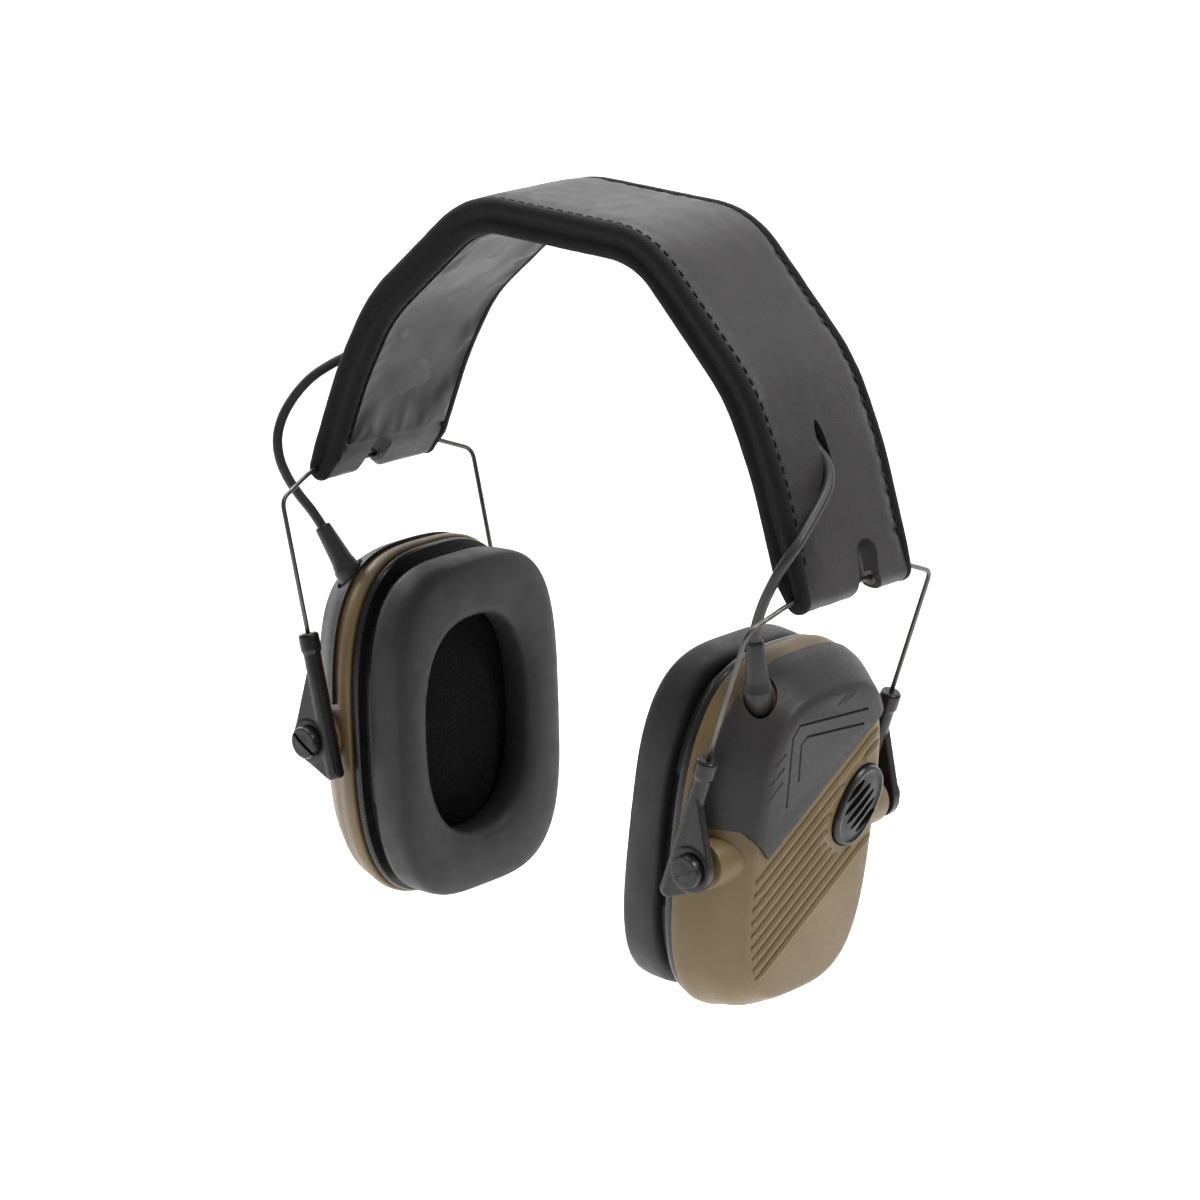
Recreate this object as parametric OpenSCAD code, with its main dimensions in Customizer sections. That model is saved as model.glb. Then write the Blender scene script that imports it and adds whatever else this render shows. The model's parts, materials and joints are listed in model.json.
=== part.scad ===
// Electronic earmuff hearing protector: a folding padded headband, two wire bails
// with height-adjustable arms, and two tilting ear cups with soft cushions.
// X runs from the left cup to the right cup, Y from front to back, Z up.
// The origin is the middle of the flat underside of the crown, where a head meets it.

/* [View] */
// Which piece to draw

/* [Headband] */
// Width of the padded band, front to back
band_w = 46.4; // [36:0.2:60]
// Whole thickness of the band
band_t = 9; // [6:0.5:14]
// Half length of the flat crown, up to its bend
crown_half = 33; // [20:1:45]
// Where the upper slope meets the side, from the middle
shoulder_x = 70.5; // [60:0.5:80]
// Height of that bend
shoulder_z = -26.5; // [-40:0.5:-15]
// Hinge line at the band's end, from the middle
knuckle_x = 90; // [80:0.5:100]
// Height of the hinge line
knuckle_z = -82.5; // [-100:0.5:-70]
// Outward lean of the band's ends, degrees
end_lean = 19.5; // [5:0.5:30]
// Thickness of the outer cover
cover_t = 1.2; // [0.8:0.1:2]
// Thickness of the lining
lining_t = 1; // [0.6:0.1:2]
// Thickness of the steel strip
strip_t = 0.8; // [0.5:0.1:1.5]
// Width of the steel strip
strip_w = 30; // [20:1:40]

/* [Wire bail] */
// Wire diameter
wire_d = 1.4; // [1:0.1:2.5]
// Half distance between the two legs
leg_y = 41; // [38:0.5:46]
// Top of each leg, from the middle
leg_x = 87.5; // [80:0.5:95]
// Height of the top of each leg
leg_z = -88; // [-95:0.5:-84]
// Inward lean of the legs, degrees
leg_lean = 16.2; // [5:0.1:25]
// Length of each leg
leg_len = 72; // [60:1:84]

/* [Arms] */
// Diameter of the sliding tube
tube_d = 5.2; // [4:0.1:7]
// Length of the tube
tube_len = 44; // [35:1:55]
// Distance along the leg from its top to the tube
tube_start = 40; // [30:1:50]
// Place of the pivot along the leg, from its top
pivot_s = 72; // [60:1:80]
// Place of the pivot outward of the leg
pivot_t = 6; // [4:0.5:9]
// Radius of the pivot pin
pin_r = 2.5; // [1.5:0.1:3.5]

/* [Ear cups] */
// Outward lean of the cup's top, degrees
cup_tilt = 4.5; // [0:0.5:12]
// Half width at the rim
rim_a = 37; // [32:0.5:44]
// Half height at the rim
rim_b = 54; // [46:0.5:60]
// Half width of the outer face
face_a = 27.5; // [22:0.5:34]
// Half height of the outer face
face_b = 46.5; // [40:0.5:54]
// Outer face, from the pivot axis
face_d = 10; // [6:0.5:16]
// Rim, from the pivot axis
rim_d = -10.5; // [-14:0.5:-6]
// Wall thickness of the shell
wall = 2; // [1.5:0.1:3]
// Thickness of the rubber cover
rubber_t = 1.2; // [0.8:0.1:2]
// Angle of the split and of the ribs, degrees
rib_angle = 35; // [20:1:50]
// Number of ribs
rib_count = 9; // [5:1:12]
// Spacing of the ribs
rib_pitch = 3.5; // [2.5:0.1:5]

/* [Cushions] */
// Sealing face of the cushion, from the pivot axis
seal_d = -30; // [-36:0.5:-24]
// Half width of the cushion
cushion_a = 36; // [30:0.5:42]
// Half height of the cushion
cushion_b = 51; // [44:0.5:56]
// Half width of the ear opening
ear_a = 22.5; // [18:0.5:28]
// Half height of the ear opening
ear_b = 33; // [28:0.5:40]

/* [Signal cable] */
// Cable diameter
cable_d = 3; // [1.8:0.1:3.5]
// Where the cable enters the band, front to back
cable_y = -3; // [-12:1:12]

/* [Hidden] */
$fn = 48;
gap = 0.3;
roll_r = 3.6;
tube_r = 2;
end_len = 6.5;
wire_r = wire_d / 2;
bore_r = wire_r + 0.1;
strip_o = 4.8;
notch_w = 8.6;
shell_n = 2.9;
ring_pts = 56;
charcoal = [0.16, 0.15, 0.16];
black = [0.07, 0.07, 0.07];
olive = [0.46, 0.38, 0.25];
steel = [0.62, 0.62, 0.63];

// ---------------------------------------------------------------- small helpers

function unit(v) = v / norm(v);
function sgn_pow(c, n) = sign(c) * pow(abs(c), 2 / n);

// Rounded outline with half width a and half height b; a larger n is squarer
function outline(a, b, n, k = ring_pts) =
    [for (i = [0:k - 1]) [a * sgn_pow(cos(360 * i / k), n), b * sgn_pow(sin(360 * i / k), n)]];

// Points of one outline standing at depth d along X
function ring(r, k) = [for (p = outline(r[1], r[2], r[3], k)) [r[0], p[0], p[1]]];

// Triangles between ring i and ring j of a stack
function band_faces(i, j, k) = [
    for (m = [0:k - 1]) each [
        [i * k + m, i * k + (m + 1) % k, j * k + m],
        [i * k + (m + 1) % k, j * k + (m + 1) % k, j * k + m]
    ]
];

// Solid skinned over rings [depth, half width, half height, squareness]
module loft(rings, k = ring_pts) {
    n = len(rings);
    polyhedron(
        points = [for (r = rings) each ring(r, k)],
        faces = concat(
            [[for (m = [k - 1:-1:0]) m]],
            [for (i = [0:n - 2]) each band_faces(i, i + 1, k)],
            [[for (m = [0:k - 1]) (n - 1) * k + m]]
        ),
        convexity = 6
    );
}

// Closed ring-shaped solid, such as a cushion, skinned over rings that return to the first
module loft_ring(rings, k = ring_pts) {
    n = len(rings);
    polyhedron(
        points = [for (r = rings) each ring(r, k)],
        faces = [for (i = [0:n - 1]) each band_faces(i, (i + 1) % n, k)],
        convexity = 6
    );
}

// Flat plate with the rounded outline, from depth d0 to d1
module plate(d0, d1, a, b, n) {
    translate([d0, 0, 0])
        rotate([90, 0, 90])
            linear_extrude(height = d1 - d0)
                polygon(outline(a, b, n, 64));
}

module along_y(y0, y1, r) {
    translate([0, y1, 0])
        rotate([90, 0, 0])
            cylinder(r = r, h = y1 - y0);
}

module along_x(x0, x1, r) {
    translate([x0, 0, 0])
        rotate([0, 90, 0])
            cylinder(r = r, h = x1 - x0);
}

// Straight rod between two points
module rod(p, q, r) {
    v = q - p;
    translate(p)
        rotate([0, acos(v[2] / norm(v)), atan2(v[1], v[0])])
            cylinder(r = r, h = norm(v));
}

// The right side as drawn, the left side mirrored
module side(right) {
    if (right)
        children();
    else
        mirror([1, 0, 0])
            children();
}

// ---------------------------------------------------------------- headband path

end_n = [cos(end_lean), sin(end_lean)];
end_u = [-sin(end_lean), cos(end_lean)];
path_end = [knuckle_x, knuckle_z] + roll_r * end_n + end_len * end_u;
path_side = path_end + 28 * end_u;

function curve(p, q, r, l, n) =
    [for (i = [0:n]) let (t = i / n)
        pow(1 - t, 2) * (q - l * unit(q - p)) + 2 * t * (1 - t) * q + t * t * (q + l * unit(r - q))];

crown = [0, band_t];
bend_1 = [crown_half, band_t];
bend_2 = [shoulder_x, shoulder_z];
half_path = concat(
    curve(crown, bend_1, bend_2, 13, 6),
    curve(bend_1, bend_2, path_side, 10, 5),
    curve(bend_2, path_side, path_end, 8, 3),
    [path_end]
);
path_n = len(half_path);
path = concat([for (i = [path_n - 1:-1:0]) [-half_path[i][0], half_path[i][1]]], half_path);

function heading(i) = unit(path[min(i + 1, len(path) - 1)] - path[max(i - 1, 0)]);

// The path moved inward from the outer surface by o
function inset(o) = [for (i = [0:len(path) - 1]) path[i] - o * [-heading(i)[1], heading(i)[0]]];

// Slab that follows the band between two depths and two places across it
module band_layer(o0, o1, y0, y1) {
    lower = inset(o1);
    translate([0, y1, 0])
        rotate([90, 0, 0])
            linear_extrude(height = y1 - y0, convexity = 8)
                polygon(concat(inset(o0), [for (i = [len(lower) - 1:-1:0]) lower[i]]));
}

module end_frame(right) {
    side(right)
        translate([knuckle_x, 0, knuckle_z])
            rotate([0, -end_lean, 0])
                children();
}

// Slot in the band's end that shows the wire between the two loops
module notch(right) {
    y_mid = right ? 4.5 : -4.5;
    end_frame(right) {
        translate([-8, y_mid - notch_w / 2, -8])
            cube([16, notch_w, 15]);
        translate([0, y_mid, 7])
            along_x(-8, 8, notch_w / 2);
    }
}

module notches() {
    notch(true);
    notch(false);
}

// Slits where the cable goes into the band; the right one is longer and lower
module slits() {
    translate([81.6, cable_y, -48.2])
        rotate([0, -27, 0])
            translate([-4.6, -1.9, -7.5])
                cube([8, 3.8, 18.5]);
    translate([-79.6, cable_y, -44])
        rotate([0, 36, 0])
            translate([-3.6, -1.9, -7.6])
                cube([8, 3.8, 16.6]);
}

// ---------------------------------------------------------------- headband pieces

module band_cover() {
    color(charcoal)
        difference() {
            band_layer(0, cover_t, -band_w / 2, band_w / 2);
            slits();
            notches();
        }
}

module band_core() {
    color([0.3, 0.3, 0.3])
        difference() {
            band_layer(cover_t, band_t - lining_t, -band_w / 2, band_w / 2);
            band_layer(strip_o, strip_o + strip_t, -strip_w / 2, strip_w / 2);
            band_layer(cover_t - 1, cover_t + 3.4, cable_y - 1.8, cable_y + 1.8);
            slits();
            notches();
        }
}

module band_lining() {
    color([0.12, 0.12, 0.13])
        difference() {
            band_layer(band_t - lining_t, band_t, -band_w / 2, band_w / 2);
            notches();
        }
}

module band_binding() {
    color(black) {
        band_layer(-0.2, band_t, band_w / 2, band_w / 2 + 1.2);
        band_layer(-0.2, band_t, -band_w / 2 - 1.2, -band_w / 2);
    }
}

module spring_strip() {
    color(steel)
        difference() {
            union() {
                band_layer(strip_o, strip_o + strip_t, -strip_w / 2, strip_w / 2);
                for (right = [true, false])
                    end_frame(right) {
                        translate([roll_r - strip_o - strip_t, -strip_w / 2, 0])
                            cube([strip_t, strip_w, end_len]);
                        along_y(-strip_w / 2, strip_w / 2, tube_r);
                    }
            }
            for (right = [true, false])
                end_frame(right)
                    along_y(-strip_w, strip_w, bore_r);
            notches();
        }
}

module end_loop(right) {
    strip_x = roll_r - strip_o - strip_t;
    color(charcoal)
        difference() {
            end_frame(right)
                difference() {
                    union() {
                        translate([0, band_w / 2, 0])
                            rotate([90, 0, 0])
                                linear_extrude(height = band_w)
                                    polygon([
                                        [roll_r, 0], [roll_r, end_len],
                                        [roll_r - band_t, end_len], [-roll_r, 0]
                                    ]);
                        along_y(-band_w / 2, band_w / 2, roll_r);
                    }
                    along_y(-band_w, band_w, tube_r);
                    translate([strip_x, -strip_w / 2, 0])
                        cube([strip_t, strip_w, end_len + 1]);
                }
            notch(right);
        }
}

// ---------------------------------------------------------------- signal cable

cable_r = cable_d / 2;

route_right = [
    [77.3, -22.2, -110], [77.3, -23.1, -104], [77.5, -24.4, -97], [78.5, -25.7, -92.4],
    [80.6, -27, -87.4], [83, -28, -82.6], [85.4, -28.4, -78], [87.6, -28.2, -73.6],
    [89.4, -26.8, -69.6], [90.2, -24.2, -66.4], [89.9, -20.6, -63.4], [89.2, -16.6, -60.6],
    [88.3, -12.4, -57.8], [87.2, -8.4, -55], [85.2, -5, -51.8], [82.4, -3.2, -48.8],
    [79.4, -3, -46.2], [76.2, -3, -43], [73.6, -3, -38.9]
];
route_left = [
    [-73.6, -3, -38.9], [-76.2, -3, -41.4], [-79.4, -3, -43], [-83, -3.6, -44.8],
    [-86.9, -5.6, -47.2], [-91, -8.8, -50.2], [-95.2, -13.2, -53.4], [-98.8, -18, -57.4],
    [-101.6, -22, -62.8], [-103, -25.4, -68.6], [-103, -27.6, -74.8], [-101.4, -28.2, -80.8],
    [-98.6, -27.6, -86.2], [-95, -26.4, -91], [-90.9, -25.3, -95.1], [-87.4, -24.3, -99.5],
    [-83.2, -23.1, -105.4], [-79.6, -22.1, -110.7]
];

// The stretch inside the band follows the crown between the two slits
inner_reach = 74;
function inside(i) = inset(cover_t + 1.8)[i];
inner_ids = [for (i = [0:len(path) - 1]) if (abs(path[i][0]) < inner_reach) i];
route_band = [for (i = [len(inner_ids) - 1:-1:0])
    let (p = inside(inner_ids[i])) [p[0], cable_y, p[1]]];
cable_route = concat(route_right, route_band, route_left);

function route_dir(p, i) = unit(p[min(i + 1, len(p) - 1)] - p[max(i - 1, 0)]);

// Round tube with 8 sides that follows a list of points
module swept(p, r, k = 8) {
    n = len(p);
    side_dir = [0, 1, 0];
    pts = [
        for (i = [0:n - 1])
            let (t = route_dir(p, i), a = unit(cross(t, cross(side_dir, t))), b = cross(t, a))
                for (m = [0:k - 1]) p[i] + r * (cos(360 * m / k) * a + sin(360 * m / k) * b)
    ];
    polyhedron(
        points = pts,
        faces = concat(
            [[for (m = [0:k - 1]) m]],
            [for (i = [0:n - 2]) each [for (f = band_faces(i, i + 1, k)) [f[0], f[2], f[1]]]],
            [[for (m = [k - 1:-1:0]) (n - 1) * k + m]]
        ),
        convexity = 8
    );
}

module signal_cable() {
    color(charcoal)
        swept(cable_route, cable_r);
}

// ---------------------------------------------------------------- bails and arms

module bail(right) {
    foot_x = leg_x - leg_len * sin(leg_lean);
    foot_z = leg_z - leg_len * cos(leg_lean);
    inner_y = band_w / 2 + 3;
    color(steel)
        side(right) {
            rod([knuckle_x, -inner_y, knuckle_z], [knuckle_x, inner_y, knuckle_z], wire_r);
            for (s = [-1, 1]) {
                translate([knuckle_x, s * inner_y, knuckle_z])
                    sphere(r = wire_r + 0.04);
                rod([knuckle_x, s * inner_y, knuckle_z], [leg_x, s * leg_y, leg_z], wire_r);
                translate([leg_x, s * leg_y, leg_z])
                    sphere(r = wire_r + 0.04);
                rod([leg_x, s * leg_y, leg_z], [foot_x, s * leg_y, foot_z], wire_r);
            }
        }
}

// Frame of one leg: the origin at the top of the tube, Z up along the leg, X outward
module leg_frame(right, s) {
    side(right)
        translate([leg_x, s * leg_y, leg_z])
            rotate([0, leg_lean, 0])
                translate([0, 0, -tube_start])
                    children();
}

module arm(right, s) {
    tube_r2 = tube_d / 2;
    eye_z = tube_start - pivot_s;
    y_lo = s > 0 ? -0.4 : -tube_r2;
    y_hi = s > 0 ? tube_r2 : 0.4;
    color(black)
        leg_frame(right, s)
            difference() {
                union() {
                    translate([0, 0, -tube_len])
                        cylinder(r = tube_r2, h = tube_len);
                    translate([0, 0, -5])
                        cylinder(r = tube_r2 + 0.5, h = 5);
                    translate([0, y_hi, 0])
                        rotate([90, 0, 0])
                            linear_extrude(height = y_hi - y_lo)
                                hull() {
                                    translate([0.4, -15])
                                        circle(r = 2, $fn = 32);
                                    translate([pivot_t, eye_z])
                                        circle(r = 6.5, $fn = 32);
                                    translate([0, 2 - tube_len])
                                        circle(r = 2, $fn = 32);
                                }
                }
                translate([0, 0, -tube_len - 1])
                    cylinder(r = bore_r, h = tube_len + 2);
                translate([pivot_t, 0, eye_z])
                    along_y(-5, 5, pin_r + 0.1);
            }
}

// ---------------------------------------------------------------- ear cups

pivot_x = leg_x - pivot_s * sin(leg_lean) + pivot_t * cos(leg_lean);
pivot_z = leg_z - pivot_s * cos(leg_lean) - pivot_t * sin(leg_lean);
boss_y = leg_y - tube_d / 2 - 0.3;
eye_in = leg_y - 0.4;
eye_out = leg_y + tube_d / 2;

// Frame of a cup: the origin on its pivot axis, X outward, Z up
module cup_frame(right) {
    side(right)
        translate([pivot_x, 0, pivot_z])
            rotate([0, cup_tilt, 0])
                children();
}

// Rings of the shell's outside, from the face to the rim, grown by g
function skin(g) = [
    [face_d + g, face_a - 3 + g, face_b - 3 + g, 3.4],
    [face_d - 0.8 + g * 0.8, face_a - 0.8 + g, face_b - 0.9 + g, 3.3],
    [face_d - 3 + g * 0.5, face_a + 1 + g, face_b + 0.9 + g, 3.2],
    [1, face_a + 5.6 + g, face_b + 4.6 + g, 3.05],
    [cover_d, rim_a - 1.8 + g, rim_b - 1.5 + g, 2.95],
    [-6, rim_a - 0.6 + g, rim_b - 0.6 + g, shell_n]
];
rim_rings = [
    [rim_d + 1.2, rim_a, rim_b, shell_n],
    [rim_d, rim_a - 0.4, rim_b - 0.4, shell_n]
];
hollow_rings = [
    [rim_d, rim_a - wall - 0.4, rim_b - wall - 0.4, shell_n],
    [-6, rim_a - wall - 0.6, rim_b - wall - 0.6, shell_n],
    [1, face_a + 5.6 - wall, face_b + 4.6 - wall, 3.05],
    [face_d - 3.4, face_a + 0.4 - wall, face_b + 0.3 - wall, 3.2],
    [face_d - wall, face_a - 3.4 - wall, face_b - 3.4 - wall, 3.4]
];

// Edge of the rubber cover near the rim, and its split line at the middle of the face
cover_d = -3.4;
split_z = 16.5;
grille_y = 17;
grille_z = 7;
collar_y = -21.5;
collar_z = 45;
knob_d = -0.4;
knob_z = -27;
door_z0 = -38.6;
door_z1 = -15;
door_y = 22.6;

module tilted(a, h) {
    translate([0, 0, h])
        rotate([a, 0, 0])
            children();
}

module ribs() {
    intersection() {
        plate(face_d - 0.5, face_d + 0.9, face_a - 2.2, face_b - 2.4, 3.4);
        for (i = [0:rib_count - 1])
            tilted(rib_angle, split_z - 4.5 - i * rib_pitch / cos(rib_angle))
                translate([face_d - 2, -60, -0.9])
                    cube([4, 120, 1.8]);
    }
}

module grille_hole(grow) {
    translate([0, grille_y, grille_z])
        rotate([rib_angle + 22, 0, 0])
            rotate([90, 0, 90])
                translate([0, 0, face_d - 4])
                    linear_extrude(height = 6)
                        polygon(outline(12.4 + grow, 8.6 + grow, 2.4, 48));
}

// The sleeve stands upright on the right cup and leans outward on the left one
module collar_frame(right) {
    translate([0.6, collar_y, collar_z])
        rotate([9, right ? -4.5 : 30, 0])
            children();
}

module door_block(grow) {
    translate([face_d - 3 - grow, -door_y - grow, door_z0 - grow])
        cube([6 + 2 * grow, 2 * door_y + 2 * grow, door_z1 - door_z0 + 2 * grow]);
}

hinge_d = face_d + 0.2;
hinge_z = door_z0 - 0.2;
// Barrels of the door hinge: which = 0 on the cup, 1 on the door
module hinge_barrels(which, grow) {
    for (y = which == 0 ? [-19, -3, 13] : [-11, 5])
        translate([hinge_d, 0, hinge_z])
            along_y(y - grow, y + 6 + grow, 1.4 + grow);
}

module raw_shell() {
    loft(concat(skin(0), rim_rings, hollow_rings));
    ribs();
}

module pivot_bosses() {
    for (s = [0, 1])
        mirror([0, s, 0]) {
            along_y(face_a + 2.5, boss_y, 7);
            along_y(boss_y - 1, eye_in - 0.2, 3.2);
        }
}

module cup_shell(right) {
    color(olive)
        cup_frame(right)
            difference() {
                union() {
                    raw_shell();
                    pivot_bosses();
                    if (!right) {
                        hinge_barrels(0, 0);
                        translate([knob_d, 0, knob_z])
                            along_y(30, 36.6, 7.8);
                    }
                }
                for (s = [0, 1])
                    mirror([0, s, 0])
                        along_y(34, 50, pin_r);
                grille_hole(0);
                collar_frame(right)
                    translate([0, 0, -6])
                        cylinder(r = 4.2, h = 16);
                if (!right) {
                    door_block(gap);
                    hinge_barrels(1, gap);
                    translate([hinge_d, 0, hinge_z])
                        along_y(-20, 20, 0.6);
                    translate([knob_d, 0, knob_z])
                        along_y(26, 40, 3.1);
                }
            }
}

// Half-space above the split and its step at the front wall, as a prism along X
module cover_zone() {
    low = split_z - 23 * tan(rib_angle) + 1.2;
    rotate([90, 0, 90])
        linear_extrude(height = 40, center = true)
            polygon([
                [-60, 10], [-30, 10], [-23, low], [60, low + 83 * tan(rib_angle)],
                [60, 90], [-60, 90]
            ]);
}

module rubber_cover(right) {
    outer = skin(rubber_t);
    inner = skin(0.03);
    color(charcoal)
        cup_frame(right)
            difference() {
                intersection() {
                    difference() {
                        loft(concat([for (i = [0:4]) outer[i]], [for (i = [4:-1:0]) inner[i]]));
                        for (y = [-18.6, -17.4])
                            translate([face_d + 0.8, y, 14])
                                cube([3, 0.7, 24]);
                        translate([face_d + 0.8, -18.6, 38])
                            cube([3, 32, 0.7]);
                        for (i = [0:2]) {
                            tilted(rib_angle, 38 + 4 * i)
                                translate([face_d + 0.7, 2 + 2 * i, 0])
                                    cube([3, 18, 0.9]);
                            tilted(rib_angle, 25 + 4 * i)
                                translate([face_d + 0.7, -28, 0])
                                    cube([3, 7, 0.9]);
                        }
                    }
                    cover_zone();
                }
                for (s = [0, 1])
                    mirror([0, s, 0])
                        along_y(20, 50, 7.2);
                grille_hole(0.4);
                collar_frame(right)
                    translate([0, 0, -6])
                        cylinder(r = 5, h = 16);
            }
}

module pivot_pins(right) {
    color(black)
        cup_frame(right)
            for (s = [0, 1])
                mirror([0, s, 0])
                    difference() {
                        union() {
                            along_y(34, eye_out + 0.2, pin_r);
                            along_y(eye_out + 0.2, eye_out + 2.4, 4.9);
                        }
                        translate([-5, eye_out + 1.2, -0.6])
                            cube([10, 3, 1.2]);
                    }
}

module mic_grille(right) {
    color(black)
        cup_frame(right)
            difference() {
                intersection() {
                    grille_hole(-0.1);
                    translate([face_d - 1.8, -50, -60])
                        cube([2.4, 110, 120]);
                }
                for (i = [-2:2])
                    tilted(rib_angle, grille_z - grille_y * tan(rib_angle) + i * 3.9)
                        translate([face_d - 4, 0, -0.8])
                            intersection() {
                                cube([8, 60, 1.6]);
                                translate([0, grille_y / cos(rib_angle) + i * 2.2 - 7.5 + abs(i), -1])
                                    cube([8, 15 - 2 * abs(i), 4]);
                            }
            }
}

module mic_capsule(right) {
    color(steel)
        cup_frame(right)
            translate([0, grille_y, grille_z])
                along_x(face_d - 5.2, face_d - 2, 3);
}

// Collar and tapered sleeve that hold the cable where it leaves the cup
module cable_relief(right) {
    color(black)
        cup_frame(right)
            collar_frame(right)
                difference() {
                    union() {
                        translate([0, 0, -3])
                            cylinder(r = 4.1, h = 9);
                        translate([0, 0, 6])
                            cylinder(r1 = 3.4, r2 = 2.5, h = 12);
                    }
                    translate([0, 0, 1])
                        cylinder(r = cable_r + 0.5, h = 20);
                }
}

module base_plate(right) {
    color(black)
        cup_frame(right)
            difference() {
                union() {
                    plate(rim_d - 3, rim_d, rim_a - 1, rim_b - 0.8, shell_n);
                    plate(rim_d - 7, rim_d - 3, rim_a - 4, rim_b - 5, shell_n);
                }
                plate(rim_d - 8, rim_d + 1, ear_a + 2.5, ear_b + 3, 2.6);
            }
}

module cushion(right) {
    back = rim_d - 7;
    color(charcoal)
        cup_frame(right)
            intersection() {
                loft_ring([
                    [back, cushion_a - 1.5, cushion_b - 1.5, 3.3],
                    [back - 1.5, cushion_a, cushion_b, 3.3],
                    [seal_d + 4, cushion_a, cushion_b, 3.4],
                    [seal_d + 1.6, cushion_a - 0.9, cushion_b - 0.9, 3.4],
                    [seal_d + 0.4, cushion_a - 2.6, cushion_b - 2.6, 3.3],
                    [seal_d - 0.2, cushion_a - 5, cushion_b - 5, 3.2],
                    [seal_d - 0.2, ear_a + 3.4, ear_b + 3.4, 2.5],
                    [seal_d + 0.8, ear_a + 1.4, ear_b + 1.4, 2.5],
                    [seal_d + 3, ear_a, ear_b, 2.5],
                    [back, ear_a, ear_b, 2.5]
                ]);
                translate([seal_d, -60, -70])
                    cube([40, 120, 140]);
            }
}

module foam_liner(right) {
    color(black)
        cup_frame(right)
            plate(rim_d - 5.5, rim_d + 0.4, ear_a + 2.3, ear_b + 2.8, 2.6);
}

module baffle(right) {
    color([0.2, 0.2, 0.2])
        cup_frame(right)
            difference() {
                plate(rim_d + 0.5, rim_d + 2, rim_a - wall - 0.9, rim_b - wall - 0.9, shell_n);
                translate([0, 0, right ? 0 : 6])
                    along_x(rim_d, rim_d + 3, 13);
            }
}

module speaker(right) {
    color(steel)
        cup_frame(right)
            translate([0, 0, right ? 0 : 6]) {
                along_x(rim_d + 2, rim_d + 3.6, 17);
                along_x(rim_d + 3.6, rim_d + 6.6, 14);
                along_x(rim_d + 6.6, rim_d + 10, 8);
            }
}

module circuit_board() {
    color([0.1, 0.35, 0.18])
        cup_frame(true)
            union() {
                translate([1, -22, -30])
                    cube([1.6, 44, 60]);
                for (y = [-14, 2], z = [-22, 14])
                    translate([2.6, y, z])
                        cube([1.6, 9, 7]);
            }
}

cell_r = 5.25;
cell_z = [-21.5, -32.2];
module battery_tray() {
    color([0.2, 0.2, 0.2])
        cup_frame(false)
            difference() {
                translate([-7.6, -24.6, door_z0 + 0.4])
                    cube([8.4, 49.2, door_z1 - door_z0 - 0.8]);
                for (z = cell_z)
                    translate([0.4, 0, z])
                        along_y(-23.2, 23.2, cell_r + 0.05);
            }
}

module batteries() {
    color([0.75, 0.6, 0.2])
        cup_frame(false)
            for (z = cell_z)
                translate([0.4, 0, z]) {
                    along_y(-22.25, 21.4, cell_r);
                    along_y(21.4, 22.25, 1.9);
                }
}

module volume_control() {
    color(steel)
        cup_frame(false)
            translate([knob_d, 0, knob_z])
                union() {
                    along_y(24.8, 26.8, 3.4);
                    along_y(26.8, 41, 1.5);
                }
}

module volume_knob() {
    color(black)
        cup_frame(false)
            translate([knob_d, 0, knob_z])
                difference() {
                    along_y(36.9, 43, 7.4);
                    along_y(36, 41.2, 1.55);
                    for (i = [0:17])
                        rotate([0, i * 20, 0])
                            translate([7.6, 0, 0])
                                along_y(38, 44, 0.6);
                }
}

module battery_door() {
    color(olive)
        cup_frame(false)
            difference() {
                union() {
                    intersection() {
                        raw_shell();
                        door_block(0);
                    }
                    hinge_barrels(1, 0);
                }
                translate([hinge_d, 0, hinge_z])
                    along_y(-20, 20, 0.7);
            }
}

module door_pin() {
    color(steel)
        cup_frame(false)
            translate([hinge_d, 0, hinge_z])
                along_y(-19, 19, 0.6);
}

// ---------------------------------------------------------------- pieces by name

band_cover();
band_core();
band_lining();
band_binding();
spring_strip();
end_loop(true);  // end_loop_right
end_loop(false);  // end_loop_left
signal_cable();
bail(true);  // bail_right
bail(false);  // bail_left
arm(true, -1);  // arm_front_right
arm(true, 1);  // arm_back_right
arm(false, -1);  // arm_front_left
arm(false, 1);  // arm_back_left
cup_shell(true);  // cup_shell_right
cup_shell(false);  // cup_shell_left
rubber_cover(true);  // rubber_cover_right
rubber_cover(false);  // rubber_cover_left
pivot_pins(true);  // pivot_pins_right
pivot_pins(false);  // pivot_pins_left
mic_grille(true);  // mic_grille_right
mic_grille(false);  // mic_grille_left
mic_capsule(true);  // mic_capsule_right
mic_capsule(false);  // mic_capsule_left
cable_relief(true);  // cable_relief_right
cable_relief(false);  // cable_relief_left
base_plate(true);  // base_plate_right
base_plate(false);  // base_plate_left
cushion(true);  // cushion_right
cushion(false);  // cushion_left
foam_liner(true);  // foam_liner_right
foam_liner(false);  // foam_liner_left
baffle(true);  // baffle_right
baffle(false);  // baffle_left
speaker(true);  // speaker_right
speaker(false);  // speaker_left
circuit_board();
battery_tray();
batteries();
volume_control();
volume_knob();
battery_door();
door_pin();
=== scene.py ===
"""Looks of the electronic earmuff: padded headband, wire bails, sliding arms and tilting cups with cushions."""

import math

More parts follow.
